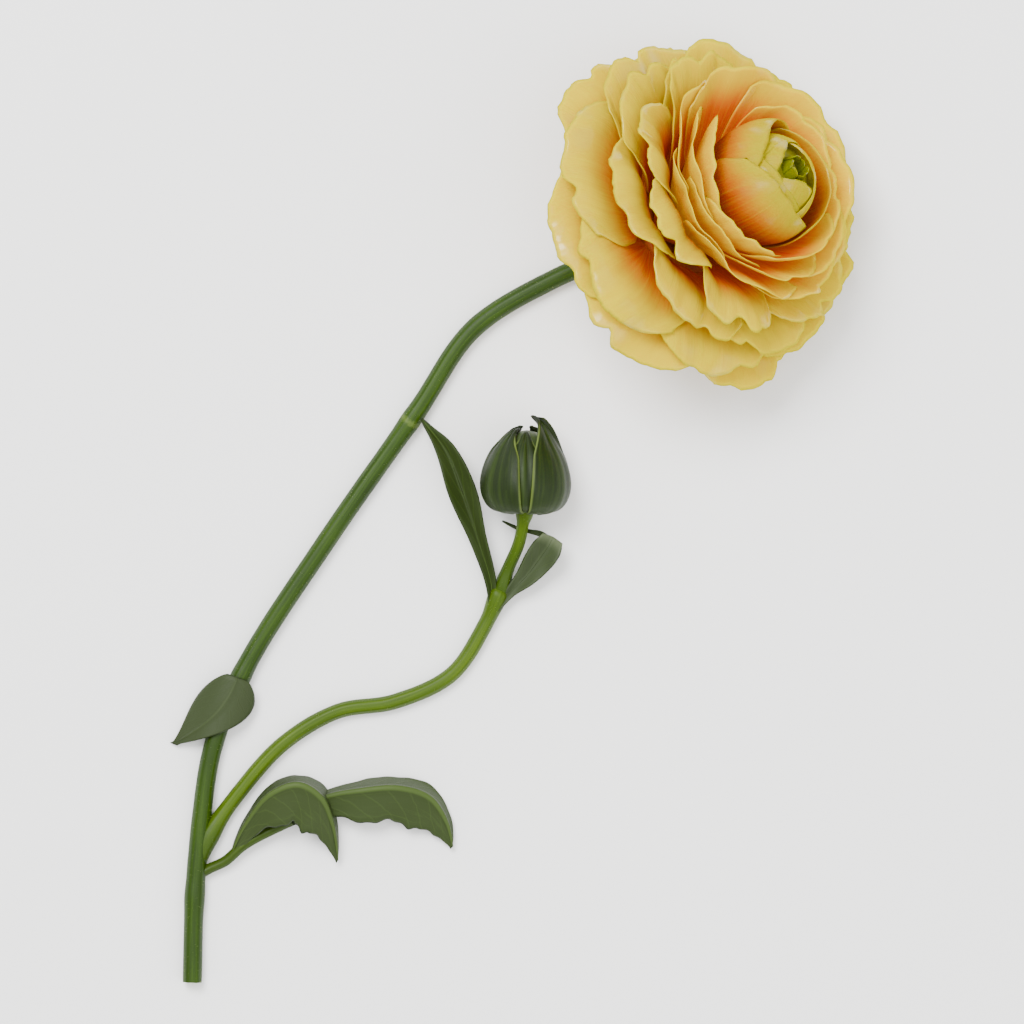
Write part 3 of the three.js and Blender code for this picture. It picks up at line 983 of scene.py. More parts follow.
@dataclass(frozen=True)
class StemFinish:
    """Fleshy stems with faint streaks, a dark foot and a scar ring.

    The foot's length and the scar's place are distances along the stem in millimetres. A scar before the
    stem's start doesn't show.
    """

    STREAKS_ROUND = 3.1
    STREAK_SIZE = 1.6
    CLOUD_SIZE = 0.06
    GRAIN_SIZE = 3.0
    FOOT_STRENGTH = 0.7
    SCAR_SLANT = 0.5
    SCAR_UNEVENNESS = 1.2
    SCAR_STRENGTH = 0.6
    GLOSS = 0.42
    GLOSS_SPREAD = 0.2

    name: str
    light: Color
    body: Color
    dark: Color
    foot: float = 0.1
    scar: float = -10.0
    scar_color: Color = srgb(84, 102, 40)

    def make(self) -> bpy.types.Material:
        """Makes the material.

        Returns:
            The material.
        """
        tree = MaterialTree(self.name, specular_ior_level=0.14)
        here = tree.here()
        turn = tree.attribute("turn") * (2 * math.pi)
        run = tree.attribute("run")
        ring = self.STREAKS_ROUND
        streak_place = tree.vector(turn.cos() * ring, turn.sin() * ring, run * 0.05)
        streaks = tree.noise(streak_place, self.STREAK_SIZE, 3.0)
        clouds = tree.noise(here, self.CLOUD_SIZE, 2.0)
        grain = tree.noise(here, self.GRAIN_SIZE, 3.0)
        tone = streaks * 0.5 + clouds * 0.35 + grain * 0.15
        color = tree.ramp(tone, (0.25, self.dark), (0.5, self.body), (0.75, self.light))
        foot = 1 - run.smooth(self.foot * 0.35, self.foot)
        color = tree.mix(foot * self.FOOT_STRENGTH, color, self.dark)
        off_scar = run + turn.sin() * self.SCAR_SLANT + (grain - 0.5) * self.SCAR_UNEVENNESS - self.scar
        scar = 1 - abs(off_scar).smooth(0.1, 0.8)
        color = tree.mix(scar * self.SCAR_STRENGTH, color, self.scar_color)
        return tree.feed(
            base_color=color,
            roughness=self.GLOSS + (grain - 0.5) * self.GLOSS_SPREAD,
            normal=tree.bump(streaks * 0.6 + grain * 0.4, strength=0.35, distance=0.12),
        )


@dataclass(frozen=True)
class SepalFinish:
    """Dark green sepals with pale margins and streaks from foot to tip."""

    MOTTLE_SIZE = 0.5
    GRAIN_SIZE = 4.0
    STREAK_WAVES = 9
    STREAK_STRENGTH = 0.5
    FOOT_STRENGTH = 0.6
    MIDRIB_STRENGTH = 0.3
    MARGIN_STRENGTH = 0.85
    TIP_STRENGTH = 0.8
    GLOSS = 0.5
    GLOSS_SPREAD = 0.25

    name: str
    body: Color
    light: Color
    margin: Color
    tip: Color
    margin_width: float = 0.08

    def make(self) -> bpy.types.Material:
        """Makes the material.

        Returns:
            The material.
        """
        tree = MaterialTree(self.name, specular_ior_level=0.18)
        along, across = tree.attribute("along"), tree.attribute("across")
        here = tree.here()
        mottle = tree.noise(here, self.MOTTLE_SIZE, 3.0)
        grain = tree.noise(here, self.GRAIN_SIZE, 3.0)
        streak = tree.noise(tree.vector(across * self.STREAK_WAVES, along * 1.5, mottle * 0.6), detail=2.0)
        color = tree.mix(streak.smooth(0.35, 0.7) * self.STREAK_STRENGTH, self.body, self.light)
        color = tree.mix((1 - along).smooth(0.55, 1.0) * self.FOOT_STRENGTH, color, self.light)
        midrib = 1 - abs(across).smooth(0.03, 0.13)
        color = tree.mix(midrib * self.MIDRIB_STRENGTH, color, self.light)
        margin = (abs(across) + (streak - 0.5) * 0.05).smooth(1 - self.margin_width, 1.0)
        color = tree.mix(margin * self.MARGIN_STRENGTH, color, self.margin)
        color = tree.mix(along.smooth(0.86, 0.99) * self.TIP_STRENGTH, color, self.tip)
        return tree.feed(
            base_color=color,
            roughness=self.GLOSS + (grain - 0.5) * self.GLOSS_SPREAD,
            normal=tree.bump(streak * 0.6 + grain * 0.4, strength=0.5, distance=0.15),
        )


@dataclass(frozen=True)
class GrainFinish:
    """A plain surface with a fine grain, for cores, hairs, cut faces and the floor."""

    name: str
    body: Color
    shade: Color
    grain: float = 2.0
    rough: float = 0.6

    def make(self) -> bpy.types.Material:
        """Makes the material.

        Returns:
            The material.
        """
        tree = MaterialTree(self.name)
        grain = tree.noise(tree.here(), self.grain, 4.0)
        return tree.feed(
            base_color=tree.mix(grain, self.body, self.shade),
            roughness=self.rough + (grain - 0.5) * 0.15,
            normal=tree.bump(grain, strength=0.2, distance=0.08),
        )


# In the petal finishes, the warm and deep stops colour the petal roots: partly the petals' own orange,
# partly painted shade in the crease and under overlapping edges.
OUTER_FINISH = PetalFinish(
    "outer petal",
    rim=srgb(186, 164, 0),
    body=srgb(172, 138, 0),
    golden=srgb(178, 106, 0),
    warm=srgb(176, 74, 0),
    deep=srgb(154, 38, 0),
    back=0.7,
)
INNER_FINISH = PetalFinish(
    "inner petal",
    rim=srgb(190, 160, 0),
    body=srgb(190, 138, 0),
    golden=srgb(188, 106, 0),
    warm=srgb(182, 78, 0),
    deep=srgb(170, 54, 0),
    back=0.3,
    # The inner petals glow more: painted light that lifts the shade deep in the cup
    painted_glow=0.32,
)
HEART_FINISH = PetalFinish(
    "young petal",
    rim=srgb(152, 140, 0),
    body=srgb(162, 128, 0),
    golden=srgb(162, 98, 0),
    warm=srgb(152, 72, 0),
    deep=srgb(130, 46, 0),
    back=1.0,
    gloss=0.42,
)
CLOSED_FINISH = replace(HEART_FINISH, name="closing petal", inside=0.55)
EYE_FINISH = PetalFinish(
    "eye petal",
    rim=srgb(114, 120, 4),
    body=srgb(92, 98, 2),
    golden=srgb(64, 68, 0),
    warm=srgb(42, 43, 0),
    deep=srgb(26, 25, 0),
    back=1.0,
    gloss=0.45,
)


# ---- Geometry Nodes trees of this flower


class PetalRowTree(GeometryTree):
    """Grows a row of petals from its seats round the bloom's axis.

    Each seat carries an azimuth, a half width, a reach and a number. A petal's middle follows a curve from
    root to rim, and the rim's radius, height and lean change round the bloom from its near side to its far
    side.
    """

    HANDLE_SHARE = 0.38
    ROOT_SHARE = 0.32
    ROUNDING_POWER = 2.6
    SCALLOP_WAVES = 3.2
    NOTCH_SPREAD = 3.2
    NOTCH_SHARPNESS = 90
    RIPPLES_ROUND = 11
    RUFFLE_WAVES = 3.2
    CREASE_WAVES = 5.0
    FULL_WIDTH_AT = 0.55
    FULL_LIFT_AT = 0.25
    LIFT_AT_REST = 0.6
    BORDER = 0.05
    ROOT_BORDER = 0.03
    ROOT_THICKNESS = 1.25
    THINNING = 0.5

    def __init__(self) -> None:
        """Builds the tree."""
        super().__init__("petal row")
        petals = self._sheets()
        s, t = self.read("along"), self.read("across")
        angle = self.read("azimuth") + t * self.read("half_width") * self._width(s)
        u = s * self.read("reach") * self._length(s, t)
        radius, height, out, rise = self._profile(u, angle)
        rest = self.size("Rest height")
        lift = self.size("Lift")
        side = lift * t * (0.5 + 0.5 * s.smooth(0.0, self.FULL_LIFT_AT))
        proud = side + self._relief(s, t, angle, rest)
        radius, height = radius + out * proud, height + rise * proud
        place = self.round_axis(BLOOM, radius, height, angle)
        petals = self.place(petals, self._laid_down(place, rest + self.LIFT_AT_REST * lift * (t + 1)))
        # Warm root colour: partly the petals' own orange, partly painted shade where the roots sink into
        # the crease and lie under overlapping edges.
        warm = self.size("Warmth") * (1 - s.smooth(self.size("Warm from"), self.size("Warm to")))
        petals = self.store(petals, "warmth", warm)
        border = (1 - abs(t)).least(1 - s).smooth(0.0, self.BORDER).least(s.smooth(0.0, self.ROOT_BORDER))
        thickness = self.size("Thickness") * (self.ROOT_THICKNESS - self.THINNING * s)
        self.close(self.thicken(petals, thickness * 0.5 * MM * border.sqrt()))

    def _width(self, s: Value) -> Value:
        """A petal's width along it, as a share of its greatest."""
        widening = self.ROOT_SHARE + (1 - self.ROOT_SHARE) * s.smooth(0.0, self.FULL_WIDTH_AT)
        return widening - self.size("Narrowing") * s.smooth(0.7, 1.0)

    def _length(self, s: Value, t: Value) -> Value:
        """A petal's length across it: rounded, wavy at the rim and split by a notch.

        Args:
            s: Places along.
            t: Places across.

        Returns:
            The length as a share of the whole.
        """
        rounded = 1 - self.size("Rounding") * abs(t) ** self.ROUNDING_POWER
        waves = self.vector(t * self.SCALLOP_WAVES, self.read("petal") * 5.3, 0.0)
        scallop = self.noise(waves, detail=3.0) - 0.5
        middle = self.noise(self.vector(self.read("petal") * 4.7, 3.3, 1.1)) - 0.5
        split = t - middle * self.NOTCH_SPREAD
        notch = (-(split * split) * self.NOTCH_SHARPNESS).exp() * self.size("Notch") * s.smooth(0.6, 1.0)
        return rounded + scallop * self.size("Scallop") - notch

    def _relief(self, s: Value, t: Value, angle: Value, rest: Value) -> Value:
        """How far a petal's ripples, ruffles and creases stand out from its middle surface.

        Args:
            s: Places along.
            t: Places across.
            angle: Azimuths.
            rest: The row's height at rest, which sets the rows' waves apart.

        Returns:
            The heights in millimetres.
        """
        ruffle = self.noise(self.vector(angle * self.RUFFLE_WAVES, rest * 0.12, s * 1.3)) - 0.5
        crease = self.noise(self.vector(t * self.CREASE_WAVES, self.read("petal") * 2.9, s * 0.8)) - 0.5
        return (
            self.size("Ripple") * s * s * (angle * self.RIPPLES_ROUND + rest).sin()
            + self.size("Ruffle") * s * s * ruffle
            + self.size("Crease") * s.smooth(0.1, 0.7) * crease
        )

    def _sheets(self) -> Value:
        """One flat sheet for each seat.

        Returns:
            The sheets, which know their places along and across.
        """
        grid = self.add(
            "GeometryNodeMeshGrid",
            inputs={
                "Size X": 2.0,
                "Size Y": 1.0,
                "Vertices X": self.size("Steps across", "Int"),
                "Vertices Y": self.size("Steps along", "Int"),
            },
        )
        x, y, _ = self.parts(self.add("GeometryNodeInputPosition"))
        sheet = self.store(self.store(grid, "across", x), "along", y + 0.5)
        inputs = {"Points": self.given("Geometry"), "Instance": sheet}
        many = self.add("GeometryNodeInstanceOnPoints", inputs=inputs)
        return self.add("GeometryNodeRealizeInstances", inputs={"Geometry": many})

    def _rim(self, key: str, angle: Value) -> Value:
        """A rim value round the bloom, from its values on the near side, the flanks and the far side.

        Args:
            key: What the value is: radius, height or lean.
            angle: Azimuths at which it is read.

        Returns:
            The value.
        """
        near, flank, far = (self.size(f"{side} {key}") for side in ("Near", "Flank", "Far"))
        mean = (near + far) / 4 + flank / 2
        return mean + (far - near) / 2 * angle.cos() + (mean - flank) * (angle * 2).cos()

    def _profile(self, u: Value, angle: Value) -> tuple[Value, Value, Value, Value]:
        """The middle curve of a petal.

        Args:
            u: Place on it from root to rim.
            angle: Azimuth at which the rim is read.

        Returns:
            Radius and height, and the radial and axial parts of the unit normal.
        """
        root = (self.size("Root radius"), self.size("Root height"))
        rim = (self._rim("radius", angle), self._rim("height", angle))
        root_lean, rim_lean = self.size("Root lean"), self._rim("lean", angle)
        over, up = rim[0] - root[0], rim[1] - root[1]
        span = (over * over + up * up).sqrt()
        handle = span * self.HANDLE_SHARE
        low = (root[0] + handle * root_lean.sin(), root[1] + handle * root_lean.cos())
        high = (rim[0] - handle * rim_lean.sin(), rim[1] - handle * rim_lean.cos())
        v = 1 - u
        place, way = [], []
        for a, b, c, d in zip(root, low, high, rim):
            place.append(v * v * v * a + 3 * (v * v * u) * b + 3 * (v * u * u) * c + u * u * u * d)
            way.append(v * v * (b - a) + 2 * (v * u) * (c - b) + u * u * (d - c))
        length = (way[0] * way[0] + way[1] * way[1]).sqrt()
        return place[0], place[1], -way[1] / length, way[0] / length

    def _laid_down(self, point: Value, height: Value) -> Value:
        """Lets what would dip below a height lie down on it instead.

        Args:
            point: Points in millimetres.
            height: The height under each point.

        Returns:
            The points in metres of the shared frame.
        """
        x, y, z = self.parts(point)
        above = (z - height) / PRESS_SOFTNESS
        pressed = height + PRESS_SOFTNESS * (above.most(0.0) + ((-abs(above)).exp() + 1).log())
        return self.scaled(self.vector(x - REST_SPOT[0], y - REST_SPOT[1], pressed - REST_SPOT[2]), MM)


class BladeTree(GeometryTree):
    """Gives a sheet its thickness, which falls to nothing along its border, and a thicker midrib."""

    RIB_WIDTH = 0.22

    def __init__(self) -> None:
        """Builds the tree."""
        super().__init__("blade")
        s, t = self.read("along"), self.read("across")
        edge = self.size("Edge")
        border = (1 - abs(t)).least((1 - s) * 2).least(s * 2).smooth(0.0, edge).sqrt()
        rib = 1 + self.size("Rib") * (1 - abs(t).smooth(0.0, self.RIB_WIDTH))
        half = self.size("Thickness") * 0.5 * MM * border * rib
        self.close(self.thicken(self.given("Geometry"), half))


class StemTree(GeometryTree):
    """Draws a ribbed round stem along a curve and closes its ends."""

    BUMPS_PER_MM = 0.16

    def __init__(self) -> None:
        """Builds the tree."""
        super().__init__("stem")
        parameter = self.add("GeometryNodeSplineParameter")
        inputs = {"Resolution": self.size("Sides", "Int"), "Radius": MM}
        circle = self.add("GeometryNodeCurvePrimitiveCircle", inputs=inputs)
        circle = self.store(circle, "turn", parameter)
        route = self.store(self.given("Geometry"), "run", parameter.output("Length") / MM)
        radius = self.add("GeometryNodeInputRadius")
        tube = self.add(
            "GeometryNodeCurveToMesh",
            inputs={"Curve": route, "Profile Curve": circle, "Fill Caps": True, "Scale": radius},
        )
        ribs = (self.read("turn") * self.size("Ribs") * (2 * math.pi)).cos() * self.size("Rib depth")
        bumps = self.noise(self.vector(self.read("run") * self.BUMPS_PER_MM, 0.0, 0.0))
        uneven = (bumps - 0.5) * self.size("Unevenness")
        normal = self.add("GeometryNodeInputNormal")
        tube = self.shift(tube, self.scaled(normal, (ribs + uneven) * MM))
        x, y, z = self.parts(self.add("GeometryNodeInputPosition"))
        self.close(self.place(tube, self.vector(x, y, z.most(0.0))))


class HairTree(GeometryTree):
    """Scatters fine hairs over a surface, but not over its underside."""

    LOWEST_FACING = -0.25
    SHORTEST = 0.5
    LONGEST = 1.1

    def __init__(self) -> None:
        """Builds the tree."""
        super().__init__("hairs")
        _, _, rise = self.parts(self.add("GeometryNodeInputNormal"))
        seed = self.size("Seed", "Int")
        inputs = {"A": rise, "B": self.LOWEST_FACING}
        facing_up = self.add("FunctionNodeCompare", {"operation": "GREATER_THAN"}, inputs)
        spots = self.add(
            "GeometryNodeDistributePointsOnFaces",
            inputs={
                "Mesh": self.given("Geometry"),
                "Selection": facing_up,
                "Density": self.size("Density"),
                "Seed": seed,
            },
        )
        hair = self.add(
            "GeometryNodeMeshCone",
            inputs={
                "Vertices": 3,
                "Radius Top": 0.0,
                "Radius Bottom": self.size("Radius"),
                "Depth": self.size("Length"),
            },
        )
        inputs = {2: self.SHORTEST, 3: self.LONGEST, "Seed": seed}
        size = self.add("FunctionNodeRandomValue", {"data_type": "FLOAT"}, inputs, output=1)
        many = self.add(
            "GeometryNodeInstanceOnPoints",
            inputs={"Points": spots, "Instance": hair, "Rotation": spots.output("Rotation"), "Scale": size},
        )
        self.close(many)


# ---- the bloom


@dataclass(frozen=True)
class Edge:
    """Where a petal starts or ends: radius and height on the bloom's axis, and lean from it in degrees."""

    radius: float
    height: float
    lean: float

    def sizes(self, side: str) -> dict[str, float]:
        """The edge as inputs of the row's tree.

        Args:
            side: Which edge it is: root, near, flank or far.

        Returns:
            The inputs by name.
        """
        return {
            f"{side}_radius": float(self.radius),
            f"{side}_height": float(self.height),
            f"{side}_lean": math.radians(self.lean),
        }


@dataclass(frozen=True)
class BlushAndShade:
    """How a row's warm colour fades from its root: where the fading starts and stops, and its strength. The
    warm root is partly the petals' own orange and partly painted shade in the crease and under overlapping
    edges.
    """

    start: float
    stop: float
    strength: float


@dataclass(frozen=True)
class PetalRow:
    """One row of petals. Its rim is given on the bloom's near side, on its flanks and on its far side.

    The first petal's azimuth and the half width are in degrees. "missing" numbers the petals that are left
    out, and "longer" gives petals an added share of length.
    """

    count: int
    first: float
    half_width: float
    rounding: float
    ripple: float
    lift: float
    rest: float
    root: Edge
    near: Edge
    flank: Edge
    far: Edge
    blush_and_shade: BlushAndShade
    missing: tuple[int, ...] = ()
    longer: tuple[tuple[int, float], ...] = ()


OUTER_ROWS = (
    PetalRow(
        count=7, first=113, half_width=38, rounding=0.22, ripple=0.7, lift=0.8, rest=0.2,
        root=Edge(5, -10.8, 78), near=Edge(30.5, -11, 148),
        flank=Edge(32.5, -3.5, 112), far=Edge(29, 3, 52),
        blush_and_shade=BlushAndShade(0.4, 0.9, 0.6), longer=((0, 0.05),),
    ),
    PetalRow(
        count=7, first=138, half_width=38, rounding=0.2, ripple=0.7, lift=0.75, rest=2.0,
        root=Edge(5, -9.8, 68), near=Edge(30, -5.5, 140),
        flank=Edge(31.5, 0.3, 102), far=Edge(29, 7.5, 48),
        blush_and_shade=BlushAndShade(0.4, 0.9, 0.75),
    ),
    PetalRow(
        count=7, first=160, half_width=38, rounding=0.22, ripple=0.7, lift=0.75, rest=3.8,
        root=Edge(5, -8.9, 60), near=Edge(26.5, 4.2, 120),
        flank=Edge(29.6, 4.2, 94), far=Edge(27.3, 10.8, 46),
        blush_and_shade=BlushAndShade(0.4, 0.86, 0.95),
    ),
    PetalRow(
        count=7, first=186, half_width=37, rounding=0.22, ripple=0.6, lift=0.65, rest=5.4,
        root=Edge(5, -8, 42), near=Edge(23.8, 10.4, 98),
        flank=Edge(26.5, 9, 80), far=Edge(25.5, 13.4, 43),
        blush_and_shade=BlushAndShade(0.44, 0.9, 1.1),
    ),
)
INNER_ROWS = (
    PetalRow(
        count=7, first=175, half_width=44, rounding=0.14, ripple=0.4, lift=0.6, rest=7.0,
        root=Edge(5.4, -3.6, 34), near=Edge(21, 16, 44),
        flank=Edge(22, 15, 42), far=Edge(23, 15.8, 38),
        blush_and_shade=BlushAndShade(0.6, 0.95, 0.85),
    ),
    PetalRow(
        count=7, first=200, half_width=43, rounding=0.14, ripple=0.3, lift=0.55, rest=8.0,
        root=Edge(4.6, -2.6, 32), near=Edge(18.4, 17.4, 32),
        flank=Edge(18.8, 17.2, 30), far=Edge(19.4, 18, 26),
        blush_and_shade=BlushAndShade(0.62, 0.98, 0.85), missing=(4, 5),
    ),
    PetalRow(
        count=6, first=150, half_width=45, rounding=0.12, ripple=0.15, lift=0.5, rest=9.0,
        root=Edge(3.4, -1.4, 26), near=Edge(15, 18, 4),
        flank=Edge(15, 19, 6), far=Edge(15.6, 19.6, 6),
        blush_and_shade=BlushAndShade(0.66, 1.02, 0.9), missing=(5,),
    ),
)
CLOSED_ROWS = (
    PetalRow(
        count=3, first=218, half_width=80, rounding=0.16, ripple=0.05, lift=0.48, rest=10.0,
        root=Edge(3.2, -0.6, 42), near=Edge(5.6, 24.2, -66),
        flank=Edge(8.4, 22.4, -40), far=Edge(11.6, 20.8, -14),
        blush_and_shade=BlushAndShade(0.42, 0.98, 1.25),
    ),
)
HEART_ROWS = (
    PetalRow(
        count=3, first=80, half_width=80, rounding=0.2, ripple=0.0, lift=0.25, rest=11.0,
        root=Edge(3.4, 3.6, 42), near=Edge(5.2, 23.4, -54),
        flank=Edge(5.2, 23.2, -52), far=Edge(5.6, 22.8, -46),
        blush_and_shade=BlushAndShade(0.4, 0.9, 0.8),
    ),
    PetalRow(
        count=3, first=120, half_width=76, rounding=0.16, ripple=0.0, lift=0.2, rest=13.0,
        root=Edge(3, 3.8, 38), near=Edge(3.4, 24.4, -60),
        flank=Edge(3.4, 24.4, -60), far=Edge(3.4, 24.4, -60),
        blush_and_shade=BlushAndShade(0.2, 0.8, 0.6),
    ),
)


class Quality(Enum):
    """How finely a petal is divided: steps along and across."""

    BROAD = (34, 44)
    SLIM = (30, 34)
    HEART = (36, 48)


@dataclass
class Petals:
    """Rows of petals of one colour, each a piece of its own."""

    node: str
    title: str
    rows: tuple[PetalRow, ...]
    finish: PetalFinish
    quality: Quality
    first_number: int = 0
    thickness: float = 0.34
    scallop: float = 0.13
    notch: float = 0.06
    ruffle: float = 3.6
    crease: float = 0.9
    narrowing: float = 0.2
    azimuth_spread: float = 5
    width_spread: float = 0.08
    length_spread: float = 0.04

    NUMBERS_TO_A_ROW = 20
    PATTERNS = 97

    def build(self, tree: PetalRowTree) -> list[bpy.types.Object]:
        """Builds the rows.

        Args:
            tree: The tree that grows a row.

        Returns:
            The pieces.
        """
        material = self.finish.make()
        pieces = []
        for place, row in enumerate(self.rows):
            number = (self.first_number + place) * self.NUMBERS_TO_A_ROW
            grown = self._grow(tree, f"{self.title}_row_{place + 1}", row, number, material)
            pieces.append(keep(grown, self.node))
        return pieces

    def _seats(self, row: PetalRow, number: int) -> dict[str, list[float]]:
        """What the seats of a row carry.

        Args:
            row: The row's sizes.
            number: Number of its first petal.

        Returns:
            One number for each petal, by what the numbers mean.
        """
        longer = dict(row.longer)
        seats = {"azimuth": [], "half_width": [], "reach": [], "petal": []}
        for k in range(row.count):
            if k in row.missing:
                continue
            petal = number + k
            turn = row.first + 360 * k / row.count + self.azimuth_spread * draw(petal, Feature.AZIMUTH)
            half_width = math.radians(row.half_width) * (1 + self.width_spread * draw(petal, Feature.WIDTH))
            reach = 1 + self.length_spread * draw(petal, Feature.LENGTH) + longer.get(k, 0.0)
            seats["azimuth"].append(math.radians(turn))
            seats["half_width"].append(half_width)
            seats["reach"].append(reach)
            seats["petal"].append(float(petal % self.PATTERNS))
        return seats

    def _grow(
        self, tree: PetalRowTree, name: str, row: PetalRow, number: int, material: bpy.types.Material
    ) -> bpy.types.Object:
        """Grows one row.

        Args:
            tree: The tree that grows it.
            name: The piece's name.
            row: The row's sizes.
            number: Number of its first petal.
            material: Its material.

        Returns:
            The row.
        """
        steps_along, steps_across = self.quality.value
        return tree.run(
            name,
            seats_mesh(name, self._seats(row, number)),
            material=material,
            steps_along=steps_along + 1,
            steps_across=steps_across + 1,
            rounding=row.rounding,
            scallop=self.scallop,
            notch=self.notch,
            narrowing=self.narrowing,
            ripple=row.ripple,
            lift=row.lift,
            rest_height=row.rest,
            ruffle=self.ruffle,
            crease=self.crease,
            thickness=self.thickness,
            warmth=row.blush_and_shade.strength,
            warm_from=row.blush_and_shade.start,
            warm_to=row.blush_and_shade.stop,
            **row.root.sizes("root"),
            **row.near.sizes("near"),
            **row.flank.sizes("flank"),
            **row.far.sizes("far"),
        )


OUTER_CORE_FINISH = GrainFinish("petal foot", srgb(168, 84, 0), srgb(146, 62, 0), 1.2)
INNER_CORE_FINISH = GrainFinish("inner petal foot", srgb(150, 60, 0), srgb(130, 44, 0), 1.2)
HEART_CORE_FINISH = GrainFinish("heart core", srgb(140, 134, 2), srgb(104, 104, 0), 1.2)
CARPEL_FINISH = GrainFinish("carpel", srgb(46, 50, 2), srgb(22, 26, 0), 3.0, 0.5)


@dataclass
class BloomCores:
    """What the petals grow from, deep inside the bloom. Outlines are radius and height on its axis."""

    outer: tuple[Pair, ...] = (
        (0, -13), (5, -13), (9.3, -10.4), (10.2, -7), (9.2, -4.6), (7.6, -5.4), (6.6, -6.6), (0, -6.6),
    )
    inner: tuple[Pair, ...] = ((0, -6), (4.8, -6), (6.6, -2.8), (8.2, 1.4), (7.6, 2.8), (0, 2.8))
    heart: tuple[Pair, ...] = (
        (0, 3.4), (3, 3.6), (4.4, 5), (6.4, 9.5), (7.2, 14),
        (6.9, 18), (5, 21.6), (2.6, 22.6), (1.6, 20.4), (0, 20),
    )
    sides: int = 40

    def build(self) -> list[bpy.types.Object]:
        """Builds the cores.

        Returns:
            The cores, each for the solid that it fills.
        """
        cores = (
            ("outer_petals", self.outer, OUTER_CORE_FINISH),
            ("inner_petals", self.inner, INNER_CORE_FINISH),
            ("heart", self.heart, HEART_CORE_FINISH),
        )
        pieces = []
        for node, outline, finish in cores:
            name = f"{node}_core"
            piece = piece_of(name, turned_mesh(name, outline, self.sides, BLOOM))
            piece.data.materials.append(finish.make())
            pieces.append(keep(piece, node))
        return pieces


@dataclass
class Eye:
    """The green eye on top of the heart: a ring of small folded petals round a dark pit with tiny carpels.

    Radii and heights are on the bloom's axis. Azimuths and the half width are in degrees.
    """

    ring_count: int = 6
    ring_first: float = 20
    ring_radius: float = 2.2
    ring_low: float = 20.6
    ring_high: float = 24.9
    ring_half_width: float = 46
    ring_flare: float = 0.3
    ring_closing: float = 0.35
    ring_overlap: float = 0.16
    ring_rounding: float = 0.12
    azimuth_spread: float = 8
    height_spread: float = 0.35
    radius_spread: float = 0.1
    least_warmth: float = 0.15
    warmth_spread: float = 0.35
    steps: tuple[int, int] = (16, 12)
    pit_radius: float = 1.5
    pit_height: float = 20.6
    pit_dome: float = 0.9
    carpels: int = 34
    carpel_sides: int = 6
    carpel_size: float = 0.24
    carpel_length: float = 0.9
    carpel_spread: float = 1.1
    golden_angle: float = 137.508

    def build(self, blades: BladeTree) -> list[bpy.types.Object]:
        """Builds the ring and the carpels.

        Args:
            blades: The tree that gives a blade its thickness.

        Returns:
            The pieces.
        """
        material = EYE_FINISH.make()
        pieces = []
        for k in range(self.ring_count):
            name = f"eye_petal_{k + 1}"
            sheet = grid_mesh(name, self._ring_surface(k), *self.steps)
            warmth = self.least_warmth + self.warmth_spread * abs(draw(k, Feature.EYE_WARMTH))
            corners = len(sheet.vertices)
            write_columns(sheet, {"warmth": [warmth] * corners, "petal": [k] * corners})
            piece = blades.run(name, sheet, material=material, thickness=0.32, edge=0.2, rib=0.0)
            pieces.append(keep(piece, "heart"))
        carpels = piece_of("eye_carpels", self._carpel_mesh("eye_carpels"))
        carpels.data.materials.append(CARPEL_FINISH.make())
        pieces.append(keep(carpels, "heart"))
        return pieces

    def _ring_surface(self, k: int) -> Surface:
        """One small petal of the ring, which leans in at its tip.

        Args:
            k: Its number in the ring.

        Returns:
            The function that gives its points.
        """
        turn = 360 * k / self.ring_count + self.azimuth_spread * draw(k, Feature.EYE_AZIMUTH)
        azimuth, half_width = math.radians(self.ring_first + turn), math.radians(self.ring_half_width)
        rise = self.ring_high + self.height_spread * draw(k, Feature.EYE_HEIGHT) - self.ring_low
        foot = self.ring_radius + self.radius_spread * draw(k, Feature.EYE_RADIUS)

        def surface(s: np.ndarray, t: np.ndarray) -> np.ndarray:
            """The petal's middle surface.

            Args:
                s: Places along.
                t: Places across.

            Returns:
                The points in millimetres.
            """
            height = self.ring_low + rise * s * (1 - self.ring_rounding * np.abs(t) ** 2.2)
            radius = foot + self.ring_flare * ease(1 - s) - self.ring_closing * s**2 + self.ring_overlap * t
            return BLOOM.point(radius, height, azimuth + half_width * t * (1 - self.ring_closing * s**2))

        return surface

    def _carpel_mesh(self, name: str) -> bpy.types.Mesh:
        """Tiny cones on a spiral in the pit.

        Args:
            name: The mesh's name.

        Returns:
            The mesh.
        """
        sides = self.carpel_sides
        vertices, faces = [], []
        for k in range(self.carpels):
            share = math.sqrt((k + 0.5) / self.carpels)
            radius, foot = self.pit_radius * share, self.pit_height + self.pit_dome * (1 - share)
            turn = math.radians(self.golden_angle) * k
            centre = BLOOM.point(radius, foot, turn)
            ring = [
                centre + self.carpel_size * (math.cos(a) * BLOOM.across + math.sin(a) * BLOOM.aside)
                for a in np.linspace(0, 2 * math.pi, sides, endpoint=False)
            ]
            base = len(vertices)
            vertices += [*ring, BLOOM.point(radius * self.carpel_spread, foot + self.carpel_length, turn)]
            faces += [(base + j, base + (j + 1) % sides, base + sides) for j in range(sides)]
            faces.append(tuple(base + j for j in reversed(range(sides))))
        mesh = bpy.data.meshes.new(name)
        mesh.from_pydata(in_frame(np.array(vertices)).tolist(), [], faces)
        return mesh


CALYX_FINISH = SepalFinish(
    "calyx sepal", srgb(62, 86, 14), srgb(96, 118, 30), srgb(150, 156, 70), srgb(80, 84, 26), 0.1
)
COLLAR_FINISH = GrainFinish("calyx collar", srgb(76, 98, 18), srgb(52, 76, 8), 1.5)


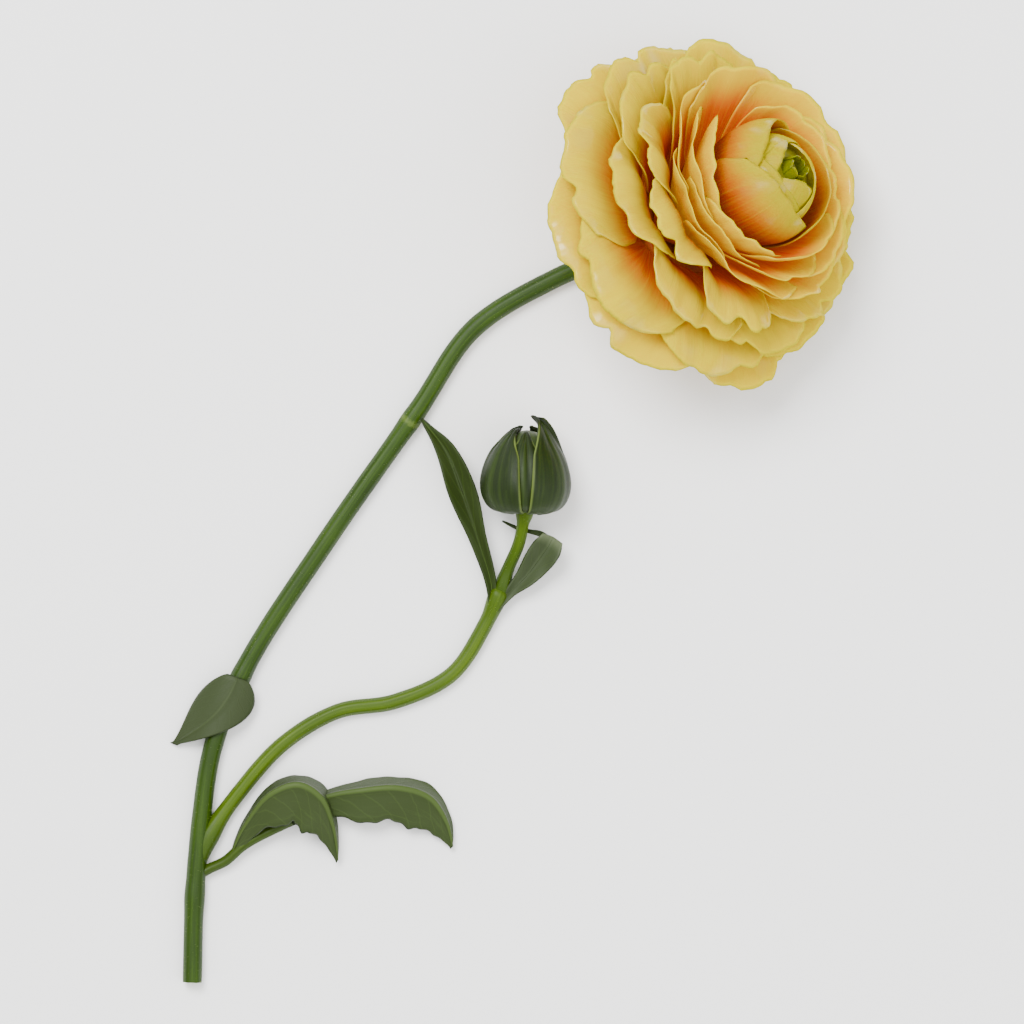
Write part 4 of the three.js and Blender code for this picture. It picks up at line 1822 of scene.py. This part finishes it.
@dataclass
class Calyx:
    """Small green sepals on a collar behind the bloom. The knots are radius and height on its axis."""

    count: int = 5
    first: float = 36
    half_width: float = 3.3
    knots: tuple[Pair, Pair, Pair] = ((3, -13.85), (8.5, -14), (12.5, -15.4))
    root_share: float = 0.7
    tip_narrowing: float = 0.85
    cupping: float = 0.2
    rest: float = 0.45
    steps: tuple[int, int] = (28, 20)
    collar_radius: float = 4.6
    collar_top: float = -13.3
    collar_height: float = 1.0
    collar_sides: int = 36

    def build(self, blades: BladeTree) -> list[bpy.types.Object]:
        """Builds the collar and the sepals.

        Args:
            blades: The tree that gives a blade its thickness.

        Returns:
            The pieces.
        """
        low, wide = self.collar_top - self.collar_height, self.collar_radius
        high = self.collar_top
        outline = ((0, low), (wide - 0.4, low), (wide - 0.1, low + 0.3), (wide, high), (0, high))
        collar = piece_of("calyx_collar", turned_mesh("calyx_collar", outline, self.collar_sides, BLOOM))
        collar.data.materials.append(COLLAR_FINISH.make())
        pieces = [keep(collar, "calyx")]
        material = CALYX_FINISH.make()
        for k in range(self.count):
            name = f"calyx_sepal_{k + 1}"
            sheet = grid_mesh(name, self._surface(k), *self.steps)
            piece = blades.run(name, sheet, material=material, thickness=0.45, edge=0.16, rib=0.5)
            pieces.append(keep(piece, "calyx"))
        return pieces

    def _surface(self, k: int) -> Surface:
        """One sepal, bent back from the bloom.

        Args:
            k: Its number.

        Returns:
            The function that gives its points.
        """
        azimuth = math.radians(self.first + 360 * k / self.count)
        root, middle, tip = np.array(self.knots)

        def surface(s: np.ndarray, t: np.ndarray) -> np.ndarray:
            """The sepal's middle surface.

            Args:
                s: Places along.
                t: Places across.

            Returns:
                The points in millimetres.
            """
            a, b, c = (1 - s) ** 2, 2 * (1 - s) * s, s**2
            radius = a * root[0] + b * middle[0] + c * tip[0]
            height = a * root[1] + b * middle[1] + c * tip[1] + self.cupping * t**2
            widening = self.root_share + (1 - self.root_share) * ease(s * 3)
            side = self.half_width * (1 - self.tip_narrowing * s**3) * widening * t
            place = BLOOM.point(np.hypot(radius, side), height, azimuth + np.arctan2(side, radius))
            return lie_down(place, self.rest)

        return surface


# ---- the stem


MAIN_STEM_COLOURS = (srgb(52, 77, 0), srgb(34, 56, 0), srgb(18, 34, 0))
SHOOT_COLOURS = (srgb(80, 102, 0), srgb(57, 79, 0), srgb(38, 58, 0))
PETIOLE_COLOURS = (srgb(64, 82, 22), srgb(46, 64, 8), srgb(30, 46, 2))
CUT_FINISH = GrainFinish("cut face", srgb(134, 150, 60), srgb(96, 120, 30), 1.6, 0.45)
HAIR_FINISH = GrainFinish("stem hair", srgb(168, 180, 110), srgb(140, 156, 84), 1.0, 0.7)


def stem_curve(
    name: str, points: Sequence[Point], radius: Callable[[np.ndarray], np.ndarray], steps: int
) -> bpy.types.Curve:
    """The curve that a stem follows, with its radius.

    Args:
        name: The curve's name.
        points: Points that it passes through.
        radius: Gives radii in millimetres from distances along it.
        steps: How many steps it has.

    Returns:
        The curve in metres.
    """
    places = Route(points).point(np.linspace(0, 1, steps + 1))
    way = np.concatenate([[0], np.cumsum(np.linalg.norm(np.diff(places, axis=0), axis=1))])
    curve = bpy.data.curves.new(name, "CURVE")
    curve.dimensions = "3D"
    curve.twist_mode = "MINIMUM"
    spline = curve.splines.new("POLY")
    spline.points.add(steps)
    flat = np.hstack([in_frame(places), np.ones((steps + 1, 1))])
    spline.points.foreach_set("co", flat.ravel().astype(np.float32))
    spline.points.foreach_set("radius", radius(way).astype(np.float32))
    return curve


@dataclass(frozen=True)
class Tube:
    """One tube of the stem: its route, its radius by the distance along it, its material and its steps."""

    name: str
    route: list[Point]
    radius: Callable[[np.ndarray], np.ndarray]
    material: bpy.types.Material
    steps: int


@dataclass
class Stem:
    """The main stem, the side shoot that leaves it near its foot, and the stalk of the bud."""

    radius: float = 1.7
    shoot_radius: float = 1.35
    pedicel_radius: float = 1.05
    receptacle_top: float = -14.6
    receptacle_flare: float = 2.3
    receptacle_depth: float = 1.9
    nodes: tuple[float, ...] = (57.0, 113.0, 154.0)
    node_swelling: float = 0.16
    node_length: float = 2.5
    shoot_foot: float = 17.0
    sides: int = 28
    hair_length: float = 0.42
    hair_radius: float = 0.022
    hairs_per_square: float = 0.9

    def main_route(self) -> list[Point]:
        """From under the bloom to the cut end.

        Returns:
            Points of the route.
        """
        r = self.radius
        heights = (self.receptacle_top, self.receptacle_top - 2.2)
        return [
            *(tuple(BLOOM.point(0.0, height, 0.0)) for height in heights),
            (-30.6, -13.6, 2.9), (-35.5, -15.6, 1.85), (-42.1, -18.3, r), (-56.9, -27.4, r),
            (-67.3, -42.5, r), (-83.9, -66.3, r), (-98.3, -88.8, r), (-104.2, -103.2, r),
            (-106.4, -116.7, r), (-107.6, -131, r), (-108, -146, r),
        ]

    def shoot_route(self) -> list[Point]:
        """From the main stem to the knot below the bud.

        Returns:
            Points of the route.
        """
        r = self.shoot_radius
        return [
            (-107.3, -127.5, 1.5), (-106.4, -122.6, 1.5), (-104.4, -118.5, r), (-99.7, -111.8, r),
            (-91.6, -102.8, r), (-81.7, -96.9, r), (-71.3, -95.1, r), (-61, -90.2, r),
            (-54.9, -81.2, r + 0.2), (-51.8, -74, 2.1),
        ]

    def pedicel_route(self) -> list[Point]:
        """From that knot to the bud.

        Returns:
            Points of the route.
        """
        return [
            (-53, -77, 1.7), (-52, -74.8, 2), (-50.8, -71.2, 2.8), (-48.7, -66.2, 4.6), (-47.6, -60, 6.9),
        ]

    def build(self, tree: StemTree, hairs: HairTree) -> list[bpy.types.Object]:
        """Builds the three tubes and their hairs.

        Args:
            tree: The tree that draws a stem.
            hairs: The tree that scatters hairs.

        Returns:
            The pieces.
        """
        main = StemFinish("main stem", *MAIN_STEM_COLOURS, scar=self.nodes[0]).make()
        shoot = StemFinish("side shoot", *SHOOT_COLOURS, foot=self.shoot_foot).make()
        cut, down = CUT_FINISH.make(), HAIR_FINISH.make()
        tubes = (
            Tube("main_stem", self.main_route(), self._main_radius, main, 260),
            Tube("side_shoot", self.shoot_route(), self._shoot_radius, shoot, 130),
            Tube("bud_stalk", self.pedicel_route(), self._pedicel_radius, shoot, 40),
        )
        pieces = [self._tube(tree, tube, cut) for tube in tubes]
        for piece in list(pieces):
            covered = hairs.run(
                f"{piece.name}_hairs",
                piece.data.copy(),
                material=down,
                density=self.hairs_per_square / MM**2,
                length=self.hair_length * MM,
                radius=self.hair_radius * MM,
                seed=len(pieces),
            )
            pieces.append(covered)
        return [keep(piece, "stem") for piece in pieces]

    def _tube(self, tree: StemTree, tube: Tube, cut: bpy.types.Material) -> bpy.types.Object:
        """Draws one tube, its end faces flat and of another material.

        Args:
            tree: The tree that draws it.
            tube: Its sizes.
            cut: The material of its ends.

        Returns:
            The tube.
        """
        curve = stem_curve(tube.name, tube.route, tube.radius, tube.steps)
        piece = tree.run(
            tube.name,
            curve,
            material=tube.material,
            sides=self.sides,
            ribs=6.0,
            rib_depth=0.05,
            unevenness=0.12,
        )
        piece.data.materials.append(cut)
        for face in piece.data.polygons:
            if len(face.vertices) > 4:
                face.material_index = 1
                face.use_smooth = False
        return piece

    def _main_radius(self, way: np.ndarray) -> np.ndarray:
        """Radius along the main stem: flared under the bloom, with a faint swelling at each node.

        Args:
            way: Distances along it.

        Returns:
            The radii.
        """
        flare = self.receptacle_flare * np.exp(-((way / self.receptacle_depth) ** 2))
        near = sum(np.exp(-(((way - node) / self.node_length) ** 2)) for node in self.nodes)
        return self.radius + flare + self.node_swelling * near

    def _shoot_radius(self, way: np.ndarray) -> np.ndarray:
        """Radius along the side shoot: thicker where it leaves the stem and at the knot under the bud.

        Args:
            way: Distances along it.

        Returns:
            The radii.
        """
        joint = 0.5 * np.exp(-(((way - 8) / 4) ** 2)) - 0.9 * ease(1 - way / 5)
        knot = 0.4 * ease((way - way[-1] + 7) / 5) - 0.9 * ease((way - way[-1] + 1.6) / 1.6)
        return self.shoot_radius + joint + knot

    def _pedicel_radius(self, way: np.ndarray) -> np.ndarray:
        """Radius along the bud's stalk: flared where it meets the bud and where it leaves the knot."""
        foot = 0.4 * np.exp(-(((way - 3) / 2.5) ** 2)) - 0.3 * ease(1 - way / 2.5)
        return self.pedicel_radius + foot + 0.5 * ease((way - way[-1] + 3.4) / 2.4)


# ---- the bud


BUD_SEPAL_FINISH = SepalFinish(
    "bud sepal", srgb(16, 29, 0), srgb(38, 55, 4), srgb(94, 110, 50), srgb(9, 16, 0)
)
BUD_BALL_FINISH = GrainFinish("bud ball", srgb(44, 62, 8), srgb(28, 44, 2), 1.0, 0.55)


@dataclass(frozen=True)
class BudSepal:
    """One sepal of the bud. Its azimuth and half width are in degrees, azimuth 0 faces up."""

    azimuth: float
    half_width: float
    out: float
    swell: float
    top: float
    rise: float
    curl: float


@dataclass
class BudPiece:
    """The closed bud: sepals with pale margins round a green ball, their tips bent together.

    The outline is radius and height on the bud's axis. A sepal's foot and top are places along it.
    """

    outline: tuple[Pair, ...] = (
        (0, 0), (3, 0.1), (5.9, 1.3), (7.3, 4.3), (7.1, 8), (5.6, 11.6), (2.8, 14.5), (0, 15.3),
    )
    sepals: tuple[BudSepal, ...] = (
        BudSepal(-4, 32, -0.25, 0.1, 0.93, 0.2, -0.3),
        BudSepal(148, 50, -0.2, 0.1, 0.95, 0.3, 0.3),
        BudSepal(222, 50, -0.15, 0.1, 0.94, 0.3, 0.3),
        BudSepal(-52, 46, 0.15, 0.5, 0.92, 0.1, 0.0),
        BudSepal(56, 50, 0.2, 0.35, 0.96, 1.4, 0.8),
    )
    front: float = 270
    foot: float = 0.1
    tip_start: float = 0.72
    margin_curl: float = 0.3
    margin_wave: float = 0.14
    tuck: float = 0.35
    least_radius: float = 0.45
    least_closing: float = 0.02
    thickness: float = 0.6
    rest: float = 0.55
    steps: tuple[int, int] = (48, 40)
    ball_share: Pair = (0.93, 0.97)
    ball_lift: Pair = (0, 0.2)
    ball_steps: tuple[int, int] = (24, 48)

    def build(self, blades: BladeTree) -> list[bpy.types.Object]:
        """Builds the ball and the sepals.

        Args:
            blades: The tree that gives a blade its thickness.

        Returns:
            The pieces.
        """
        rings, sides = self.ball_steps
        ball = Outline(self.outline).point(np.linspace(0, 1, rings)) * self.ball_share + self.ball_lift
        ball[0, 0] = ball[-1, 0] = 0
        core = piece_of("bud_ball", turned_mesh("bud_ball", [tuple(p) for p in ball], sides, BUD))
        core.data.materials.append(BUD_BALL_FINISH.make())
        pieces = [keep(core, "bud")]
        material = BUD_SEPAL_FINISH.make()
        for k, sepal in enumerate(self.sepals):
            name = f"bud_sepal_{k + 1}"
            sheet = grid_mesh(name, self._surface(sepal, k), *self.steps)
            piece = blades.run(name, sheet, material=material, thickness=self.thickness, edge=0.1, rib=0.5)
            pieces.append(keep(piece, "bud"))
        return pieces

    def _surface(self, sepal: BudSepal, k: int) -> Surface:
        """One sepal, broad and swollen below and pointed above.

        Args:
            sepal: Its sizes.
            k: Its number, which sets the wave of its margin.

        Returns:
            The function that gives its points.
        """
        profile = Outline(self.outline)
        azimuth = math.radians(self.front + sepal.azimuth)

        def surface(s: np.ndarray, t: np.ndarray) -> np.ndarray:
            """The sepal's middle surface.

            Args:
                s: Places along.
                t: Places across.

            Returns:
                The points in millimetres.
            """
            at = self.foot + (sepal.top - self.foot) * s * (1 - 0.1 * t * t)
            swell = sepal.swell * np.sin(math.pi * np.minimum(s / 0.75, 1)) ** 2 * (1 - 0.4 * t * t)
            tip = ease((s - self.tip_start) * 3.6)
            curl = self.margin_curl * np.abs(t) ** 4 * ease((s - 0.1) * 2)
            wave = self.margin_wave * np.sin(8 * t + 5 * s + 2 * k) * s
            out = sepal.out + swell + curl + wave + sepal.curl * tip - self.tuck * ease((0.3 - s) * 4)
            place = profile.point(at) + profile.outward(at) * out[:, None]
            closing = np.sqrt(np.maximum(1 - s**20, self.least_closing))
            half = math.radians(sepal.half_width) * (1 - 0.25 * s**3 - 0.3 * tip) * closing
            radius, height = np.maximum(place[:, 0], self.least_radius), place[:, 1] + sepal.rise * tip
            return lie_down(BUD.point(radius, height, azimuth + half * t), self.rest)

        return surface


# ---- leaves


DARK_LEAF_FINISH = LeafFinish(
    "shoot leaf", srgb(18, 30, 2), srgb(34, 46, 12), srgb(52, 72, 14), srgb(10, 18, 0), veins=7.0
)
GREY_LEAF_FINISH = LeafFinish(
    "short leaf", srgb(32, 42, 14), srgb(50, 60, 36), srgb(56, 70, 34), srgb(22, 30, 10),
    veins=5.0, end=srgb(88, 98, 70), end_strength=0.8,
)
BASAL_LEAF_FINISH = LeafFinish(
    "basal leaf", srgb(26, 42, 4), srgb(42, 54, 22), srgb(64, 82, 32), srgb(22, 34, 6),
    rib_width=0.1, rib_strength=0.6, vein_strength=0.16,
)
BRACT_FINISH = LeafFinish(
    "bract", srgb(22, 32, 8), srgb(42, 52, 26), srgb(50, 62, 30), srgb(14, 22, 4),
    rib_strength=0.4, veins=6.0, vein_strength=0.1,
)


@dataclass
class Leaf:
    """A leaf on a spine, with both halves folded from its midrib.

    Its widths are pairs of a share of its length and the half width there in millimetres. The folds of its
    two halves are in degrees.
    """

    name: str
    node: str
    spine: tuple[Point, ...]
    widths: tuple[Pair, ...]
    folds: Pair
    finish: LeafFinish
    teeth: float = 0.0
    broad: float = 1.0
    gather: float = 0.0
    curl: float = 0.25
    thickness: float = 0.5
    rest: float = 0.4
    steps: tuple[int, int] = (90, 36)

    LOBE_WAVES = 22
    TOOTH_WAVES = 61
    TOOTH_SHARE = 0.35
    FLUTTER_WAVES = 17
    CREASE = 0.1

    def build(self, blades: BladeTree) -> bpy.types.Object:
        """Builds the leaf.

        Args:
            blades: The tree that gives a blade its thickness.

        Returns:
            The leaf.
        """
        sheet = grid_mesh(self.name, self._surface(), *self.steps)
        piece = blades.run(
            self.name, sheet, material=self.finish.make(), thickness=self.thickness, edge=0.12, rib=0.9
        )
        return keep(piece, self.node)

    def _surface(self) -> Surface:
        """The leaf's middle surface.

        Returns:
            The function that gives its points.
        """
        route, outline = Route(self.spine), Outline(self.widths)

        def surface(s: np.ndarray, t: np.ndarray) -> np.ndarray:
            """The leaf's middle surface.

            Args:
                s: Places along.
                t: Places across.

            Returns:
                The points in millimetres.
            """
            middle, along = route.point(s), route.tangent(s)
            side = np.cross(along, UP)
            side /= np.linalg.norm(side, axis=1)[:, None]
            even = side.mean(axis=0)
            inner = (self.gather * ease(t * 4))[:, None]
            side = side * (1 - inner) + even / np.linalg.norm(even) * inner
            lift = np.cross(side, along)
            lobes = np.abs(t) * np.sin(s * self.LOBE_WAVES)
            points = self.TOOTH_SHARE * np.abs(t) ** 3 * np.sin(s * self.TOOTH_WAVES + t)
            broad = np.where(t < 0, 1.0, self.broad)
            width = outline.point(s)[:, 1] * (1 + self.teeth * (lobes + points)) * broad
            fold = np.radians(np.where(t < 0, *self.folds))
            rise = np.sqrt(t * t + self.CREASE**2) - self.CREASE
            flutter = self.curl * np.abs(t) ** 2 * np.sin(s * self.FLUTTER_WAVES + 2 * t)
            out = (t * width * np.cos(fold))[:, None] * side
            high = (rise * width * np.sin(fold) + flutter)[:, None] * lift
            return lie_down(middle + out + high, self.rest)

        return surface


@dataclass
class Bract:
    """The grey-green bract that lies over the stem like a saddle."""

    start: Pair = (-99.7, -90.6)
    run: Pair = (-5.2, -14.6)
    half_width: float = 5.1
    crest: float = 4.1
    sag: float = 0.085
    bend: float = 7.0
    rest: float = 0.4
    steps: tuple[int, int] = (60, 40)

    def build(self, blades: BladeTree) -> bpy.types.Object:
        """Builds the bract.

        Args:
            blades: The tree that gives a blade its thickness.

        Returns:
            The bract.
        """
        name = "stem_bract_blade"
        sheet = grid_mesh(name, self._surface, *self.steps)
        piece = blades.run(name, sheet, material=BRACT_FINISH.make(), thickness=0.5, edge=0.12, rib=0.6)
        return keep(piece, "stem_bract")

    def _surface(self, s: np.ndarray, t: np.ndarray) -> np.ndarray:
        """The bract's middle surface.

        Args:
            s: Places along.
            t: Places across.

        Returns:
            The points in millimetres.
        """
        run = np.array([*self.run, 0.0])
        side = np.cross(run, UP)
        side /= np.linalg.norm(side)
        half = self.half_width * np.sin(math.pi * np.minimum(0.12 + 0.86 * s**0.8, 0.955))
        across = self.bend * s**2.2 + half * t
        points = np.array([*self.start, 0.0]) + s[:, None] * run + across[:, None] * side
        points[:, 2] = self.crest - self.sag * across**2
        return lie_down(points, self.rest)


LEAVES = (
    Leaf(
        name="shoot_leaf_left_blade",
        node="shoot_leaf_left",
        spine=(
            (-53.5, -78.4, 2.2), (-53.8, -73.6, 2.5), (-56.2, -65.5, 3.4), (-59, -57, 4.6),
            (-62, -49.6, 5), (-66.4, -43.8, 4.6),
        ),
        widths=((0, 1.1), (0.14, 1.3), (0.28, 2.1), (0.54, 3.4), (0.78, 2.4), (1, 0.3)),
        folds=(40, 40),
        finish=DARK_LEAF_FINISH,
    ),
    Leaf(
        name="shoot_leaf_right_blade",
        node="shoot_leaf_right",
        spine=(
            (-53.1, -78.2, 2.0), (-50.1, -75, 2.3), (-47.3, -72.2, 2.7), (-45.1, -69.3, 3.4),
            (-43.5, -67, 4.2), (-42.5, -65.2, 4.6),
        ),
        widths=((0, 1.1), (0.22, 1.3), (0.45, 2.4), (0.68, 3.2), (0.88, 3.3), (1, 2.5)),
        folds=(35, 35),
        finish=GREY_LEAF_FINISH,
    ),
    Leaf(
        name="shoot_leaf_right_thread",
        node="shoot_leaf_right",
        spine=(
            (-43.6, -65.5, 4.3), (-44.8, -64.7, 4.5), (-46.4, -64.3, 4.2), (-48.6, -63.8, 3.6),
            (-50.4, -63, 3.6), (-51.8, -62.3, 3.9),
        ),
        widths=((0, 0.7), (0.2, 0.6), (0.5, 0.4), (0.8, 0.35), (1, 0.15)),
        folds=(25, 25),
        finish=DARK_LEAF_FINISH,
        curl=0.0,
        thickness=0.35,
        steps=(40, 10),
    ),
    Leaf(
        name="basal_leaflet_front",
        node="basal_leaf",
        spine=(
            (-101, -123, 1.8), (-98, -117, 4), (-93.5, -111.6, 6.8), (-88.5, -109.9, 7.6),
            (-84.6, -112.2, 6.8), (-82.6, -117, 4.6), (-81.6, -124, 1.8),
        ),
        widths=((0, 1), (0.25, 4), (0.5, 6), (0.75, 5), (1, 0.5)),
        folds=(-75, -15),
        finish=BASAL_LEAF_FINISH,
        teeth=0.08,
        broad=1.3,
        gather=0.7,
    ),
    Leaf(
        name="basal_leaflet_back",
        node="basal_leaf",
        spine=(
            (-91, -117, 2.6), (-84.5, -112.6, 4.2), (-77, -111, 5.6), (-70.4, -110.6, 5.4),
            (-65, -112.4, 4), (-62, -116.7, 2.4), (-60.8, -121.5, 1.2),
        ),
        widths=((0, 1), (0.25, 4), (0.5, 5.5), (0.75, 4.5), (1, 0.5)),
        folds=(-70, -15),
        finish=BASAL_LEAF_FINISH,
        teeth=0.08,
        broad=1.25,
        gather=0.6,
    ),
)


@dataclass
class Petiole:
    """The stalk of the basal leaf."""

    route: tuple[Point, ...] = (
        (-107, -126.6, 1.5), (-104.9, -125.4, 1.5), (-102, -124, 1.7),
        (-98.5, -121, 2.2), (-90, -116.6, 2.7),
    )
    radius: float = 0.9
    steps: int = 40
    sides: int = 16

    def build(self, tree: StemTree) -> bpy.types.Object:
        """Builds the stalk.

        Args:
            tree: The tree that draws a stem.

        Returns:
            The stalk.
        """
        curve = stem_curve("petiole", self.route, self._radius, self.steps)
        material = StemFinish("petiole", *PETIOLE_COLOURS).make()
        piece = tree.run(
            "petiole", curve, material=material, sides=self.sides, ribs=4.0, rib_depth=0.06, unevenness=0.08
        )
        return keep(piece, "basal_leaf")

    def _radius(self, way: np.ndarray) -> np.ndarray:
        """The same radius everywhere along it."""
        return np.full_like(way, self.radius)


# ---- the studio


FLOOR_FINISH = GrainFinish("floor", srgb(250, 250, 249), srgb(247, 247, 246), 0.02, 0.9)


@dataclass(frozen=True)
class Light:
    """A soft lamp: its place and width in metres and its power in watts."""

    name: str
    place: Point
    width: float
    power: float


@dataclass
class Studio:
    """A pale floor, soft lights and a camera that looks straight down on the flower."""

    floor_size: float = 6.0
    floor_gap: float = 0.0002
    camera_height: float = 1.3
    view_width: float = 0.186
    sensor: float = 36.0
    middle: Pair = (-0.0495, -0.0555)
    room_brightness: float = 1.3
    lights: tuple[Light, ...] = (
        Light("key", (-0.36, 0.4, 1.0), 0.5, 20.0),
        Light("fill", (0.55, -0.45, 0.7), 0.8, 4.0),
        Light("top", (0.1, -0.1, 1.5), 0.9, 8.0),
    )

    def build(self) -> None:
        """Builds the studio round the flower."""
        self._floor()
        self._camera()
        self._room()
        for light in self.lights:
            self._hang(light)

    def _floor(self) -> None:
        """Lays the floor."""
        half = self.floor_size / 2
        corners = [(-half, -half, 0), (half, -half, 0), (half, half, 0), (-half, half, 0)]
        mesh = bpy.data.meshes.new("floor")
        mesh.from_pydata(corners, [], [(0, 1, 2, 3)])
        floor = piece_of("floor", mesh)
        floor.location.z = -self.floor_gap
        mesh.materials.append(FLOOR_FINISH.make())

    def _camera(self) -> None:
        """Places the camera."""
        data = bpy.data.cameras.new("camera")
        data.sensor_width = self.sensor
        data.lens = self.sensor * self.camera_height / self.view_width
        camera = bpy.data.objects.new("camera", data)
        camera.location = (*self.middle, self.camera_height)
        bpy.context.scene.collection.objects.link(camera)
        bpy.context.scene.camera = camera

    def _room(self) -> None:
        """Gives the room its even light."""
        world = bpy.data.worlds.new("room")
        world.use_nodes = True
        background = world.node_tree.nodes["Background"]
        background.inputs["Color"].default_value = (1.0, 1.0, 1.0, 1.0)
        background.inputs["Strength"].default_value = self.room_brightness
        bpy.context.scene.world = world

    def _hang(self, light: Light) -> None:
        """Hangs a lamp that faces the flower.

        Args:
            light: The lamp's sizes.
        """
        data = bpy.data.lights.new(light.name, "AREA")
        data.size = light.width
        data.energy = light.power
        lamp = bpy.data.objects.new(light.name, data)
        lamp.location = light.place
        aim = Vector((*self.middle, 0.0)) - Vector(light.place)
        lamp.rotation_euler = aim.to_track_quat("-Z", "Y").to_euler()
        bpy.context.scene.collection.objects.link(lamp)


# ---- putting it together


def write_sizes() -> None:
    """Brings the scene up to date."""
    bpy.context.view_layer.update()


def main() -> None:
    """Builds the studio, then the flower from the bloom's cores to its bract."""
    logging.basicConfig(level=logging.INFO, format="%(message)s")
    rows, blades, stems, hairs = PetalRowTree(), BladeTree(), StemTree(), HairTree()
    Studio().build()
    BloomCores().build()
    Petals("outer_petals", "outer", OUTER_ROWS, OUTER_FINISH, Quality.BROAD).build(rows)
    Petals(
        "inner_petals", "inner", INNER_ROWS, INNER_FINISH, Quality.SLIM,
        first_number=4, scallop=0.09, notch=0.03, narrowing=0.06, ruffle=1.2, crease=0.5, thickness=0.3,
    ).build(rows)
    Petals(
        "inner_petals", "closed", CLOSED_ROWS, CLOSED_FINISH, Quality.HEART,
        first_number=7, scallop=0.05, notch=0.0, narrowing=0.1, ruffle=0.3, crease=0.2, thickness=0.4,
    ).build(rows)
    Petals(
        "heart", "heart", HEART_ROWS, HEART_FINISH, Quality.HEART,
        first_number=8, scallop=0.03, notch=0.0, narrowing=0.1, ruffle=0.1, crease=0.1, thickness=0.45,
    ).build(rows)
    Eye().build(blades)
    Calyx().build(blades)
    Stem().build(stems, hairs)
    BudPiece().build(blades)
    for leaf in LEAVES:
        leaf.build(blades)
    Petiole().build(stems)
    Bract().build(blades)
    write_sizes()


if __name__ == "__main__":
    main()
